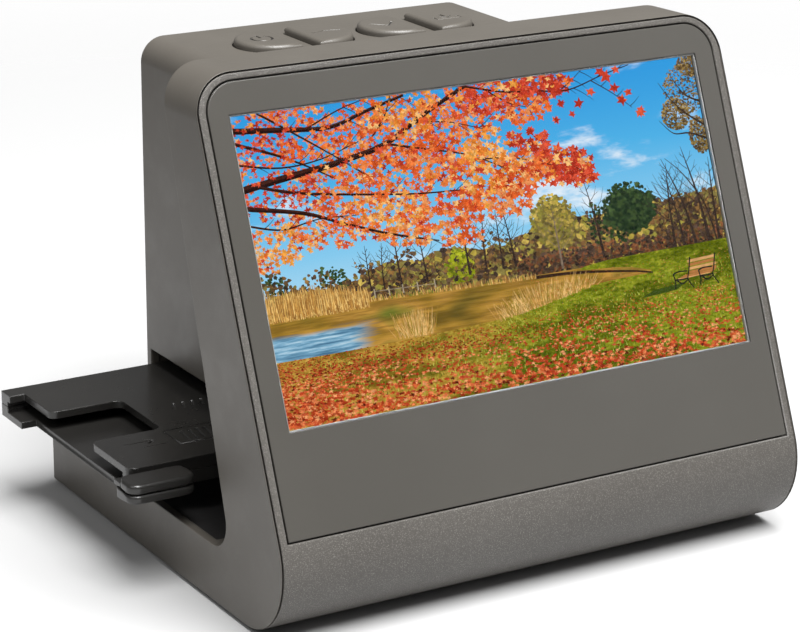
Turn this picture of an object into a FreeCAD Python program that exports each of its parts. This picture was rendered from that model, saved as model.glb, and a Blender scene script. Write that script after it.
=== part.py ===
import FreeCAD, Part
import os
import Sketcher
from FreeCAD import Placement, Rotation, Vector

# Slide viewer: a tilted five-inch screen in front, a camera tower behind it and a film tray
# that passes through a tunnel under the tower.  X runs along the screen, Y runs to the back,
# Z is up.  The origin is the middle of the footprint on the surface that the feet stand on.

DOC = FreeCAD.newDocument("slide_viewer")
SHEET = DOC.addObject("Spreadsheet::Sheet", "dims")

DIMENSIONS = {
    # outer casing
    "width": 125.0,
    "depth": 108.8,
    "foot_gap": 0.8,
    "panel_tilt": 22.2,
    "back_tilt": 16.8,
    "front_foot": -60.6,
    "back_foot": -35.4,
    "slab_top": 107.65,
    "slab_top_back": 107.2,
    "base_top": 13.0,
    "wall": 2.0,
    "lip": 0.35,
    "chin_round": 15.5,
    "chin_turn": 112.2,
    "chin_start": 23.07,
    "slab_round": 8.6,
    "inner_round": 6.0,
    "shelf_back": -21.9,
    # tower
    "tower_width": 83.6,
    "tower_middle": 2.8,
    "tower_top": 99.0,
    "tower_wall": 2.2,
    "tower_round": 5.5,
    "tunnel_top": 28.1,
    "tunnel_front": -8.8,
    "tunnel_back": 51.7,
    # front bezel and display, measured in the plane of the panel
    "bezel_half": 62.05,
    "bezel_top": 115.0,
    "bezel_depth": 3.2,
    "bezel_round": 8.2,
    "chin_wall": 2.4,
    "window_half": 60.1,
    "window_low": 23.8,
    "window_high": 113.4,
    "window_thick": 1.5,
    "window_gap": 0.35,
    "window_round": 6.8,
    "view_half": 56.2,
    "view_low": 43.8,
    "view_high": 107.6,
    "display_centre": 75.5,
    "lens_line": 22.8,
    # buttons
    "pill_half": 13.6,
    "pill_centre": 15.3,
    "pill_shift": 3.7,
    "pill_round": 8.25,
    "pill_split": 4.2,
    "button_line": 34.3,
    "button_rise": 1.5,
    "button_gap": 0.3,
    "button_crest": 1.0,
    "stem_offset": 7.8,
    "board_thick": 1.6,
    # film tray
    "tray_half": 72.0,
    "tray_front": -5.8,
    "tray_back": 51.4,
    "tray_low": 19.2,
    "tray_high": 24.8,
    "tray_seam": 22.0,
    "tray_round": 2.0,
    "grip_round": 2.4,
    "channel_wide": 50.8,
    "frame_wide": 38.0,
    "frame_deep": 26.0,
    "hinge_line": 49.2,
    "hinge_height": 20.6,
    "pin_radius": 0.7,
}


def fill_sheet():
    """Write every driving dimension into the sheet, under its own alias."""
    for row, (alias, number) in enumerate(DIMENSIONS.items(), start=1):
        SHEET.set("A%d" % row, alias)
        SHEET.set("B%d" % row, str(number))
        SHEET.setAlias("B%d" % row, alias)
    DOC.recompute()


def value(expression):
    """The number that an expression over the sheet's aliases gives now."""
    return float(SHEET.evalExpression(expression))


def bind_place(item, corner):
    """Tie an object's position to three expressions."""
    for axis, expression in zip("xyz", corner):
        item.setExpression("Placement.Base." + axis, expression)


def box(name, size, corner):
    """A block from three size expressions and its lowest corner."""
    block = DOC.addObject("Part::Box", name)
    for side, expression in zip(("Length", "Width", "Height"), size):
        block.setExpression(side, expression)
    bind_place(block, corner)
    return block


def block_on(name, half, deep, tall, centre, low):
    """A block centred on X and Y about a point, standing on a height."""
    across, along = centre
    size = ("2 * (%s)" % half, deep, tall)
    corner = ("%s - (%s)" % (across, half), "%s - (%s) / 2" % (along, deep), low)
    return box(name, size, corner)


TURNS = {
    "z": Rotation(),
    "x": Rotation(Vector(0, 1, 0), 90),
    "y": Rotation(Vector(1, 0, 0), -90),
}


def rod(name, radius, length, start, axis="z"):
    """A cylinder from its start point along +X, +Y or +Z."""
    cylinder = DOC.addObject("Part::Cylinder", name)
    cylinder.Placement = Placement(Vector(0, 0, 0), TURNS[axis])
    cylinder.setExpression("Radius", radius)
    cylinder.setExpression("Height", length)
    bind_place(cylinder, start)
    return cylinder


def fuse(name, pieces):
    """One solid from several touching pieces."""
    joined = DOC.addObject("Part::MultiFuse", name)
    joined.Shapes = pieces
    joined.Refine = True
    return joined


def cut(name, base, tools):
    """A piece with one or more tools taken out of it."""
    tool = tools[0] if len(tools) == 1 else fuse(name + "_tools", tools)
    result = DOC.addObject("Part::Cut", name)
    result.Base = base
    result.Tool = tool
    result.Refine = True
    return result


def group(name, pieces):
    """Identical separate pieces that share one node."""
    bundle = DOC.addObject("Part::Compound", name)
    bundle.Links = pieces
    return bundle


def new_body(name):
    """An empty PartDesign body."""
    return DOC.addObject("PartDesign::Body", name)


def outline(body, role, corners):
    """A closed polygon sketch on an origin plane; each corner is a pair of expressions."""
    sketch = body.newObject("Sketcher::SketchObject", body.Name + "_outline")
    plane = next(item for item in body.Origin.OriginFeatures if item.Role == role)
    sketch.AttachmentSupport = (plane, "")
    sketch.MapMode = "FlatFace"
    points = [Vector(value(across), value(up), 0) for across, up in corners]
    for start, end in zip(points, points[1:] + points[:1]):
        sketch.addGeometry(Part.LineSegment(start, end))
    count = len(points)
    for line in range(count):
        sketch.addConstraint(Sketcher.Constraint("Coincident", line, 2, (line + 1) % count, 1))
    for line, pair in enumerate(corners):
        for kind, expression in zip(("DistanceX", "DistanceY"), pair):
            number = sketch.addConstraint(
                Sketcher.Constraint(kind, -1, 1, line, 1, value(expression)))
            sketch.setExpression("Constraints[%d]" % number, expression)
    return sketch


def pad(body, role, corners, length, both_ways=True, flip=False):
    """Extrude a polygon, half each way or to one side of its plane."""
    sketch = outline(body, role, corners)
    feature = body.newObject("PartDesign::Pad", body.Name + "_pad")
    feature.Profile = sketch
    feature.setExpression("Length", length)
    feature.SideType = "Symmetric" if both_ways else "One side"
    feature.Reversed = flip
    DOC.recompute()
    return feature


def fillet(body, feature, radius, wanted):
    """Round the edges of a feature whose middle point passes a test."""
    names = []
    for number, edge in enumerate(feature.Shape.Edges, start=1):
        if wanted(edge.valueAt((edge.FirstParameter + edge.LastParameter) / 2), edge):
            names.append("Edge%d" % number)
    rounding = body.newObject("PartDesign::Fillet", body.Name + "_round")
    rounding.Base = (feature, names)
    rounding.setExpression("Radius", radius)
    DOC.recompute()
    return rounding


def near(first, second):
    """True when two lengths agree within a twentieth of a millimetre."""
    return abs(first - second) < 0.05


def runs_along(edge, axis):
    """True when an edge is straight and parallel to a world axis."""
    way = edge.valueAt(edge.LastParameter) - edge.valueAt(edge.FirstParameter)
    parts = {"x": abs(way.x), "y": abs(way.y), "z": abs(way.z)}
    return near(parts[axis], way.Length) and way.Length > 1.0


# Heights and depths on the two sloping faces, as expressions of a height.


def front_at(height):
    """Y of the panel plane at a height."""
    return "dims.front_foot + (%s - dims.foot_gap) * tan(dims.panel_tilt)" % height


def back_at(height):
    """Y of the slab's outer back face at a height."""
    return "dims.back_foot + (%s - dims.foot_gap) * tan(dims.back_tilt)" % height


def inner_back_at(height):
    """Y of the slab's inner back face at a height."""
    return back_at(height) + " - dims.wall / cos(dims.back_tilt)"


def panel_place():
    """The placement that lays local XZ on the tilted panel, with local Y into the casing."""
    foot = Vector(0, value("dims.front_foot"), value("dims.foot_gap"))
    return Placement(foot, Rotation(Vector(1, 0, 0), -value("dims.panel_tilt")))


def panel_block(name, half, low, high, front, thick):
    """A block in the panel's own frame: half width, low and high edge, front face, thickness."""
    body = new_body(name)
    corners = [("-(%s)" % half, low), (half, low), (half, high), ("-(%s)" % half, high)]
    feature = pad(body, "XZ_Plane", corners, thick, both_ways=False, flip=True)
    sketch = feature.Profile[0]
    sketch.setExpression("AttachmentOffset.Base.z", "-(%s)" % front)
    body.Placement = panel_place()
    DOC.recompute()
    return body


def round_top(body, high, radius):
    """Round the two top corners of a panel block."""
    feature = body.Tip
    top = value(high)
    return fillet(body, feature, radius,
                  lambda middle, edge: near(middle.z, top) and runs_along(edge, "y"))


def chin_wedge(name, half, radius):
    """A sector of a cylinder, from the panel plane round to the underside."""
    wedge = DOC.addObject("Part::Cylinder", name)
    wedge.setExpression("Radius", radius)
    wedge.setExpression("Height", "2 * (%s)" % half)
    wedge.setExpression("Angle", "dims.chin_turn")
    turn = Rotation(Vector(0, 1, 0), 90) * Rotation(Vector(0, 0, 1), -90)
    start = Vector(-value(half), value("dims.chin_round"), value("dims.chin_start"))
    wedge.Placement = panel_place() * Placement(start, turn)
    return wedge


def chin_arc(name, half, outer, inner):
    """The curved wall of the chin: the sector less the cylinder inside it."""
    hollow = DOC.addObject("Part::Cylinder", name + "_hollow")
    hollow.setExpression("Radius", inner)
    hollow.setExpression("Height", "2 * (%s) + 4" % half)
    turn = Rotation(Vector(0, 1, 0), 90)
    start = Vector(-value(half) - 2.0, value("dims.chin_round"), value("dims.chin_start"))
    hollow.Placement = panel_place() * Placement(start, turn)
    return cut(name, chin_wedge(name + "_sector", half, outer), [hollow])


# Casing


def housing_outline():
    """Side view of the main moulding, with sharp corners."""
    return [
        ("dims.front_foot", "dims.foot_gap"),
        ("dims.depth / 2", "dims.foot_gap"),
        ("dims.depth / 2", "dims.base_top"),
        (back_at("dims.base_top"), "dims.base_top"),
        (back_at("dims.slab_top_back"), "dims.slab_top_back"),
        (front_at("dims.slab_top"), "dims.slab_top"),
    ]


def housing_outer():
    """The solid outer form of the slab and base, with its rounded corners."""
    body = new_body("housing_outer")
    step = pad(body, "YZ_Plane", housing_outline(), "dims.width")
    foot = value("dims.front_foot")
    chin = fillet(body, step, "dims.chin_round",
                  lambda middle, edge: near(middle.y, foot) and runs_along(edge, "x"))
    corner = value(back_at("dims.base_top"))
    bend = fillet(body, chin, "dims.inner_round",
                  lambda middle, edge: near(middle.y, corner) and runs_along(edge, "x"))
    top = value("dims.slab_top_back") - 0.1
    half = value("dims.width") / 2
    fillet(body, bend, "dims.slab_round",
           lambda middle, edge: middle.z > top and near(abs(middle.x), half))
    return body


def housing_core():
    """The room inside the slab and base, open to the front and the underside."""
    body = new_body("housing_core")
    corners = [
        ("-90", "-5"),
        ("dims.depth / 2 - dims.wall", "-5"),
        ("dims.depth / 2 - dims.wall", "dims.base_top + 8"),
        ("dims.shelf_back", "dims.base_top + 8"),
        ("dims.shelf_back", "dims.base_top - dims.wall"),
        (inner_back_at("(dims.base_top - dims.wall)"), "dims.base_top - dims.wall"),
        (inner_back_at("(dims.slab_top - dims.wall)"), "dims.slab_top - dims.wall"),
        ("-90", "dims.slab_top - dims.wall"),
    ]
    step = pad(body, "YZ_Plane", corners, "dims.width - 2 * dims.wall")
    top = value("dims.slab_top - dims.wall")
    fillet(body, step, "dims.slab_round - dims.wall",
           lambda middle, edge: near(middle.z, top) and runs_along(edge, "y"))
    return body


def bezel_seat():
    """The rebate for the front bezel, a little larger than the bezel itself."""
    half = "dims.width / 2 - dims.lip"
    plate = panel_block("seat_plate", half, "dims.chin_start", "dims.bezel_top + 0.1",
                        "-3", "dims.bezel_depth + 3.1")
    round_top(plate, "dims.bezel_top + 0.1", "dims.bezel_round + 0.1")
    arc = chin_arc("seat_arc", half, "dims.chin_round + 2", "dims.chin_round - dims.chin_wall - 0.1")
    return [plate, arc]


BOSS_SPOTS = [("-57.4", "-33"), ("57.4", "-33"), ("-57.4", "46"), ("57.4", "46")]
NECK_SPOTS = ["-33.5", "33.5"]
NECK_HEIGHT = "93.8"


def main_housing():
    """Slab shell and base walls in one moulding, with four screw bosses."""
    bosses = []
    holes = []
    for number, (across, along) in enumerate(BOSS_SPOTS):
        bosses.append(rod("boss_%d" % number, "3.3", "7.4", (across, along, "3")))
        holes.append(rod("boss_hole_%d" % number, "1.25", "9", (across, along, "2")))
    cable_way = box("cable_way", ("60", "30", "44"), ("-30", "-30", "46"))
    upper_screws = [rod("upper_way_%d" % side, "1.4", "12", (across, "-16", NECK_HEIGHT), "y")
                    for side, across in enumerate(NECK_SPOTS)]
    shell = cut("housing_shell", housing_outer(),
                [housing_core()] + bezel_seat() + [cable_way] + upper_screws)
    return cut("main_housing", fuse("housing_with_bosses", [shell] + bosses), holes)


def pill(name, side, mirror, grow, low, high):
    """Half of a split pill: a straight edge beside the split, a round end away from it."""
    radius = "dims.pill_round + (%s)" % grow
    tall = "(%s) - (%s)" % (high, low)
    straight = "dims.pill_half - dims.pill_round - dims.pill_split / 2"
    end = DOC.addObject("Part::Cylinder", name + "_end")
    end.setExpression("Radius", radius)
    end.setExpression("Height", tall)
    end.Angle = 180
    end.Placement = Placement(Vector(0, 0, 0), Rotation(Vector(0, 0, 1), 90 if mirror < 0 else -90))
    middle = ("dims.pill_shift + %d * dims.pill_centre + %d * (dims.pill_half - dims.pill_round)"
              % (side, mirror))
    bind_place(end, (middle, "dims.button_line", low))
    start = middle if mirror < 0 else "%s - (%s) - (%s)" % (middle, straight, grow)
    bar = box(name + "_bar", ("%s + (%s)" % (straight, grow), "2 * (%s)" % radius, tall),
              (start, "dims.button_line - (%s)" % radius, low))
    return [end, bar]


BUTTONS = {"power_button": (-1, -1), "up_button": (-1, 1), "down_button": (1, -1), "save_button": (1, 1)}


def button_middle(side, mirror):
    """X of a button's stem and of its switch."""
    return "dims.pill_shift + %d * dims.pill_centre + %d * dims.stem_offset" % (side, mirror)


def push_buttons():
    """Four caps, each with a retaining flange under the roof and a stem over its switch."""
    caps = []
    roof = "dims.tower_top - dims.tower_wall"
    for name, (side, mirror) in BUTTONS.items():
        top = "dims.tower_top + dims.button_rise"
        cap = fuse(name + "_cap", pill(name + "_top", side, mirror, "0", roof + " - 0.4", top))
        DOC.recompute()
        crest = value(top)
        rounded = DOC.addObject("Part::Fillet", name + "_rounded")
        rounded.Base = cap
        crest_round = value("dims.button_crest")
        rounded.Edges = [(number, crest_round, crest_round)
                         for number, edge in enumerate(cap.Shape.Edges, start=1)
                         if near(edge.CenterOfMass.z, crest)]
        flange = pill(name + "_flange", side, mirror, "0.9", roof + " - 1.6", roof + " - 0.4")
        stem = rod(name + "_stem", "1.6", "0.8",
                   (button_middle(side, mirror), "dims.button_line", roof + " - 2.3"))
        caps.append(fuse(name, [rounded] + flange + [stem]))
    return caps


SOCKETS = {
    "card_socket": ("-31", "27", "25", "3.6"),
    "power_socket": ("4", "9.2", "8", "3.4"),
    "video_socket": ("17", "15.2", "12", "5.8"),
}
MAIN_BOARD_LOW = "76"
MAIN_BOARD_TOP = "77.6"
SOCKET_FACE = "(dims.depth / 2 - 0.4)"


BUTTON_SCREW_SPOTS = [("-34", "22.5"), ("37", "22.5"), ("-34", "39.5"), ("37", "39.5")]


def tower_housing():
    """Camera tower: side walls, roof and back wall, with the tray tunnel cut through it."""
    body = new_body("tower_outer")
    corners = [
        ("-22.5", "dims.base_top + 0.2"),
        ("dims.depth / 2", "dims.base_top + 0.2"),
        ("dims.depth / 2", "dims.tower_top"),
        (back_at("dims.tower_top") + " + 0.15", "dims.tower_top"),
        (back_at("24") + " + 0.15", "24"),
    ]
    step = pad(body, "YZ_Plane", corners, "dims.tower_width")
    half = value("dims.tower_width") / 2
    top = value("dims.tower_top")
    back = value("dims.depth") / 2
    crown = fillet(body, step, "dims.tower_round",
                   lambda middle, edge: near(middle.z, top) and near(abs(middle.x), half))
    fillet(body, crown, "1",
           lambda middle, edge: near(middle.y, back) and middle.z > 20)
    bind_place(body, ("dims.tower_middle", "0", "0"))
    core = box("tower_core", ("dims.tower_width - 2 * dims.tower_wall",
                              "60 + dims.depth / 2 - 2.4", "dims.tower_top - dims.tower_wall"),
               ("dims.tower_middle - dims.tower_width / 2 + dims.tower_wall", "-60", "0"))
    tunnel = box("tunnel", ("dims.tower_width + 10", "dims.tunnel_back - dims.tunnel_front",
                            "dims.tunnel_top"),
                 ("dims.tower_middle - dims.tower_width / 2 - 5", "dims.tunnel_front", "0"))
    holes = [core, tunnel]
    for name, (side, mirror) in BUTTONS.items():
        holes += pill(name + "_hole", side, mirror, "dims.button_gap", "dims.tower_top - 4",
                      "dims.tower_top + 4")
    for name, (across, wide, deep, tall) in SOCKETS.items():
        holes.append(box(name + "_way", (wide + " + 0.6", "10", tall + " + 0.6"),
                         (across + " - 0.3", "dims.depth / 2 - 5", MAIN_BOARD_TOP + " - 0.3")))
    shell = cut("tower_shell", body, holes)
    posts = []
    bores = []
    for number, (across, along) in enumerate(BUTTON_SCREW_SPOTS):
        posts.append(rod("roof_post_%d" % number, "2.5", "7.4", (across, along, "89.7")))
        bores.append(rod("roof_bore_%d" % number, "1.1", "6", (across, along, "89")))
    for number, across in enumerate(("-34", "34")):
        posts.append(rod("side_post_%d" % number, "3.4", "30", (across, "-15", "13.4")))
        bores.append(rod("side_bore_%d" % number, "1.3", "26", (across, "-15", "13")))
    posts.append(box("side_post_rib", ("9.5", "2", "30"), ("34", "-16", "13.4")))
    for number, across in enumerate(NECK_SPOTS):
        posts.append(rod("neck_post_%d" % number, "3.4", "9", (across, "-6", NECK_HEIGHT), "y"))
        bores.append(rod("neck_bore_%d" % number, "1.3", "9", (across, "-7", NECK_HEIGHT), "y"))
    return cut("tower_housing", fuse("tower_with_posts", [shell] + posts), bores)


def front_bezel():
    """Rim round the screen and the rounded chin under it."""
    rim = panel_block("bezel_rim", "dims.bezel_half", "dims.chin_start", "dims.bezel_top",
                      "0", "dims.bezel_depth")
    round_top(rim, "dims.bezel_top", "dims.bezel_round")
    seat = panel_block("window_seat", "dims.window_half + dims.window_gap",
                       "dims.window_low - dims.window_gap", "dims.window_high + dims.window_gap",
                       "-1", "dims.window_thick + 1.2")
    round_top(seat, "dims.window_high + dims.window_gap", "dims.window_round")
    view = panel_block("view_way", "dims.view_half", "dims.view_low", "dims.view_high", "-1", "8")
    arc = chin_arc("chin_arc", "dims.bezel_half", "dims.chin_round", "dims.chin_round - dims.chin_wall")
    return cut("front_bezel", fuse("bezel_blank", [rim, arc]), [seat, view])


def screen_window():
    """Flat cover plate over the display."""
    plate = panel_block("screen_window", "dims.window_half", "dims.window_low", "dims.window_high",
                        "0.1", "dims.window_thick")
    round_top(plate, "dims.window_high", "dims.window_round - 0.3")
    return plate


FOOT_SPOTS = [("-49", "-31"), ("49", "-31"), ("-49", "45"), ("49", "45")]
LONG_SPOTS = [("-34", "-15"), ("34", "-15")]


def base_cover():
    """Bottom plate with seats for the feet and the screw heads."""
    plate = box("cover_plate", ("dims.width - 2 * dims.wall - 0.4", "89.1", "2"),
                ("-dims.width / 2 + dims.wall + 0.2", "-36.9", "dims.foot_gap"))
    tools = []
    for number, (across, along) in enumerate(FOOT_SPOTS):
        tools.append(rod("foot_seat_%d" % number, "5.1", "1", (across, along, "0")))
    for number, (across, along) in enumerate(BOSS_SPOTS + LONG_SPOTS):
        tools.append(rod("head_seat_%d" % number, "2.7", "1.5", (across, along, "0.3")))
        tools.append(rod("shank_way_%d" % number, "1.5", "5", (across, along, "0")))
    return cut("base_cover", plate, tools)


def rubber_feet():
    """Four round pads set into the bottom plate."""
    return group("rubber_feet", [rod("foot_%d" % number, "5", "1", (across, along, "0"))
                                 for number, (across, along) in enumerate(FOOT_SPOTS)])


def screw(name, start, length, head=2.3, shank=1.15, axis="z"):
    """A plain screw: a flat head at its start and a shank along the axis."""
    head_tall = "1.1"
    top = rod(name + "_head", str(head), head_tall, start, axis)
    shift = "xyz".index(axis)
    begin = list(start)
    begin[shift] = "%s + %s" % (start[shift], head_tall)
    body = rod(name + "_shank", str(shank), length, begin, axis)
    return fuse(name, [top, body])


def casing_screws():
    """Screws that hold the bottom plate and the tower."""
    base = [screw("base_screw_%d" % number, (across, along, "0.65"), "8")
            for number, (across, along) in enumerate(BOSS_SPOTS)]
    lower = [screw("tower_screw_%d" % number, (across, along, "0.65"), "26")
             for number, (across, along) in enumerate(LONG_SPOTS)]
    upper = [screw("neck_screw_%d" % number, (across, "-12.6", NECK_HEIGHT), "8", axis="y")
             for number, across in enumerate(NECK_SPOTS)]
    return [group("base_screws", base), group("tower_screws", lower + upper)]


# Display


def display():
    """Liquid crystal panel, its backlight tray and the ribbon to the main board."""
    panel = panel_block("lcd_panel", "57", "dims.display_centre - 33.5", "dims.display_centre + 33.5",
                        "dims.bezel_depth + 0.1", "1.6")
    frame = panel_block("backlight_outer", "58.2", "dims.display_centre - 34.7",
                        "dims.display_centre + 34.7", "dims.bezel_depth + 0.1", "4.4")
    room = panel_block("backlight_room", "57.2", "dims.display_centre - 33.7",
                       "dims.display_centre + 33.7", "dims.bezel_depth - 1", "2.9")
    ribbon = new_body("display_cable")
    corners = [("-26.2", "62.9"), ("-22.6", "70.6"), ("-12.4", "79.4"), ("-3", "79.4"),
               ("-3", "79"), ("-12.2", "79"), ("-22.2", "70.3"), ("-25.7", "62.8")]
    pad(ribbon, "YZ_Plane", corners, "22")
    return [panel, cut("backlight_frame", frame, [room]), ribbon]


# Electronics in the tower


def main_circuit_board():
    """Main board with four screw holes and its three chips."""
    board = box("main_board_blank", ("69", "56.5", "dims.board_thick"),
                ("-34.5", "-6", MAIN_BOARD_LOW))
    holes = [rod("main_hole_%d" % number, "1.4", "4", (across, along, "75"))
             for number, (across, along) in enumerate(MAIN_SCREW_SPOTS)]
    chips = [box("chip_%d" % number, (wide, deep, tall), (across, along, MAIN_BOARD_TOP))
             for number, (across, along, wide, deep, tall) in enumerate(CHIPS)]
    return [cut("main_circuit_board", board, holes), group("board_chips", chips)]


MAIN_SCREW_SPOTS = [("-31", "-2.5"), ("31", "-2.5"), ("-31", "22.5"), ("31", "22.5")]
CHIPS = [("-8", "6", "14", "14", "1.2"), ("12", "8", "8", "12", "1.0"), ("-24", "8", "9", "9", "1.0")]


def hollow_socket(name, tongue_low, tongue_tall):
    """A metal socket shell with a contact tongue, open to the back of the casing."""
    across, wide, deep, tall = SOCKETS[name]
    front = "%s - %s" % (SOCKET_FACE, deep)
    shell = box(name + "_shell", (wide, deep, tall), (across, front, MAIN_BOARD_TOP))
    room = box(name + "_room", (wide + " - 0.8", deep, tall + " - 0.8"),
               (across + " + 0.4", front + " + 1.2", MAIN_BOARD_TOP + " + 0.4"))
    tongue = box(name + "_tongue", (wide + " * 0.6", deep + " - 2.2", tongue_tall),
                 (across + " + %s * 0.2" % wide, front + " + 0.6",
                  MAIN_BOARD_TOP + " + " + tongue_low))
    return fuse(name, [cut(name + "_can", shell, [room]), tongue])


def sockets():
    """Memory card, power and video sockets on the back edge of the main board."""
    return [
        hollow_socket("card_socket", "0.2", "0.7"),
        hollow_socket("power_socket", "1.3", "0.7"),
        hollow_socket("video_socket", "2.4", "1.1"),
    ]


def button_board():
    """Small board under the roof with a push switch for each button."""
    board = box("button_board_blank", ("76", "22", "dims.board_thick"), ("-36.5", "20", "88"))
    holes = [rod("button_hole_%d" % number, "1.4", "4", (across, along, "87"))
             for number, (across, along) in enumerate(BUTTON_SCREW_SPOTS)]
    switches = []
    for name, (side, mirror) in BUTTONS.items():
        middle = button_middle(side, mirror)
        case = block_on(name + "_switch_case", "3", "6", "3.4", (middle, "dims.button_line"), "89.6")
        plunger = rod(name + "_plunger", "1.7", "0.7", (middle, "dims.button_line", "92.9"))
        switches.append(fuse(name + "_switch", [case, plunger]))
    screws = [screw("button_screw_%d" % number, (across, along, "86.8"), "6", 2.0, 1.05)
              for number, (across, along) in enumerate(BUTTON_SCREW_SPOTS)]
    return [cut("button_board", board, holes), group("button_switches", switches),
            group("button_board_screws", screws)]


# Camera


SENSOR_SPOTS = [("-12.5", "10.3"), ("12.5", "10.3"), ("-12.5", "35.3"), ("12.5", "35.3")]


def optics_frame():
    """Black frame over the tunnel: film window, lens column, board legs and sensor posts."""
    line = "dims.lens_line"
    plate = box("frame_plate", ("73", "60.4", "2"), ("-36.5", "-8.6", "dims.tunnel_top + 0.1"))
    column = block_on("frame_column", "17", "34", "30", ("0", line), "30")
    bore = block_on("frame_column_room", "15", "30", "28", ("0", line), "30")
    window = block_on("frame_window", "dims.frame_wide / 2", "dims.frame_deep", "8", ("0", line), "26")
    lens_way = rod("lens_way", "9", "10", ("0", line, "55"))
    hollow = cut("frame_hollow", fuse("frame_blank", [plate, column]), [bore, window, lens_way])
    extras = [block_on("board_leg_%d" % number, "3", "6", "45.8", (across, along), "30.1")
              for number, (across, along) in enumerate(MAIN_SCREW_SPOTS)]
    extras += [rod("sensor_post_%d" % number, "2", "6", (across, along, "60"))
               for number, (across, along) in enumerate(SENSOR_SPOTS)]
    bores = [rod("leg_bore_%d" % number, "1.05", "8", (across, along, "70"))
             for number, (across, along) in enumerate(MAIN_SCREW_SPOTS)]
    bores += [rod("post_bore_%d" % number, "0.95", "5", (across, along, "62"))
              for number, (across, along) in enumerate(SENSOR_SPOTS)]
    return cut("optics_frame", fuse("frame_with_posts", [hollow] + extras), bores)


def lens():
    """Barrel with two glass elements and a lock ring."""
    line = "dims.lens_line"
    tube = rod("barrel_tube", "8.7", "20", ("0", line, "42"))
    flange = rod("barrel_flange", "11", "1.6", ("0", line, "60.1"))
    bore = rod("barrel_bore", "6.6", "24", ("0", line, "40"))
    barrel = cut("lens_barrel", fuse("barrel_blank", [tube, flange]), [bore])
    front = rod("lens_front_glass", "6.5", "3", ("0", line, "44.2"))
    back = rod("lens_back_glass", "6.5", "3", ("0", line, "54"))
    ring = cut("lens_lock_ring", rod("ring_blank", "6.5", "1.6", ("0", line, "42.4")),
               [rod("ring_bore", "5.2", "4", ("0", line, "41"))])
    return [barrel, front, back, ring]


def camera_sensor():
    """Image sensor, its board, screws and ribbon."""
    line = "dims.lens_line"
    board = block_on("sensor_board_blank", "15.5", "31", "dims.board_thick", ("0", line), "66.1")
    holes = [rod("sensor_hole_%d" % number, "1.2", "4", (across, along, "65"))
             for number, (across, along) in enumerate(SENSOR_SPOTS)]
    chip = block_on("image_sensor", "6.5", "11", "1.4", ("0", line), "64.7")
    screws = []
    for number, (across, along) in enumerate(SENSOR_SPOTS):
        head = rod("sensor_screw_head_%d" % number, "1.9", "1.1", (across, along, "67.7"))
        shank = rod("sensor_screw_shank_%d" % number, "0.9", "5", (across, along, "62.8"))
        screws.append(fuse("sensor_screw_%d" % number, [head, shank]))
    ribbon = new_body("sensor_cable")
    corners = [("14", "67.8"), ("14", "68.2"), ("5.4", "68.2"), ("5.4", "75.9"), ("5", "75.9"),
               ("5", "67.8")]
    pad(ribbon, "YZ_Plane", corners, "12")
    return [cut("sensor_board", board, holes), chip, group("sensor_screws", screws), ribbon]


def board_screws():
    """Screws that hold the main board on the legs of the frame."""
    screws = []
    for number, (across, along) in enumerate(MAIN_SCREW_SPOTS):
        head = rod("main_screw_head_%d" % number, "2.2", "1.2", (across, along, "77.7"))
        shank = rod("main_screw_shank_%d" % number, "1", "7", (across, along, "70.8"))
        screws.append(fuse("main_screw_%d" % number, [head, shank]))
    return group("main_board_screws", screws)


# Light and film path


DECK_LEFT = "dims.tower_middle - dims.tower_width / 2 + 0.5"


def film_deck():
    """Black deck over the base with the platform and front rail that carry the tray."""
    line = "dims.lens_line"
    plate = box("deck_plate", ("dims.width - 2 * dims.wall - 0.4", "74", "2"),
                ("-dims.width / 2 + dims.wall + 0.2", "-21.7", "10.5"))
    platform = box("deck_platform", ("dims.tower_width - 1", "60.1", "6.6"), (DECK_LEFT, "-8.5", "12.4"))
    rail = box("deck_rail", ("dims.tower_width - 1", "2.3", "5.4"), (DECK_LEFT, "-8.5", "18.5"))
    room = block_on("deck_room", "24.4", "48.8", "7.2", ("0", line), "9.9")
    window = block_on("deck_window", "dims.frame_wide / 2", "dims.frame_deep", "6", ("0", line), "15")
    wire_way = box("deck_wire_way", ("8", "4", "8"), ("-4", "-17", "8"))
    ways = [rod("deck_screw_way_%d" % number, "1.6", "6", (across, along, "8"))
            for number, (across, along) in enumerate(LONG_SPOTS)]
    return cut("film_deck", fuse("deck_blank", [plate, platform, rail]),
               [room, window, wire_way] + ways)


def light_source():
    """Lamp board with its lamps in a white box under a diffuser, and the lamp's flat lead."""
    line = "dims.lens_line"
    outer = block_on("light_outer", "23.8", "47.6", "13.4", ("0", line), "3.4")
    room = block_on("light_room", "22.2", "44.4", "14", ("0", line), "4.9")
    wire_slot = box("light_wire_slot", ("5", "4", "2"), ("-2.5", "-3", "5"))
    board = block_on("lamp_board", "20", "40", "dims.board_thick", ("0", line), "5")
    lamps = [block_on("lamp_%d_%d" % (column, row), "1.6", "3.2", "1.3",
                      ("%g" % (11 * (column - 1)), "dims.lens_line + %g" % (11 * (row - 1))), "6.6")
             for column in range(3) for row in range(3)]
    diffuser = block_on("diffuser", "22", "44", "1.8", ("0", line), "14.9")
    lead = new_body("lamp_cable")
    corners = [("2.6", "5.2"), ("-14.8", "5.2"), ("-14.8", "73.2"), ("-4", "75.9"), ("-2.6", "75.9"),
               ("-14.2", "72.8"), ("-14.2", "5.8"), ("2.6", "5.8")]
    pad(lead, "YZ_Plane", corners, "3")
    return [cut("light_box", outer, [room, wire_slot]), board, group("lamps", lamps), diffuser, lead]


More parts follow.
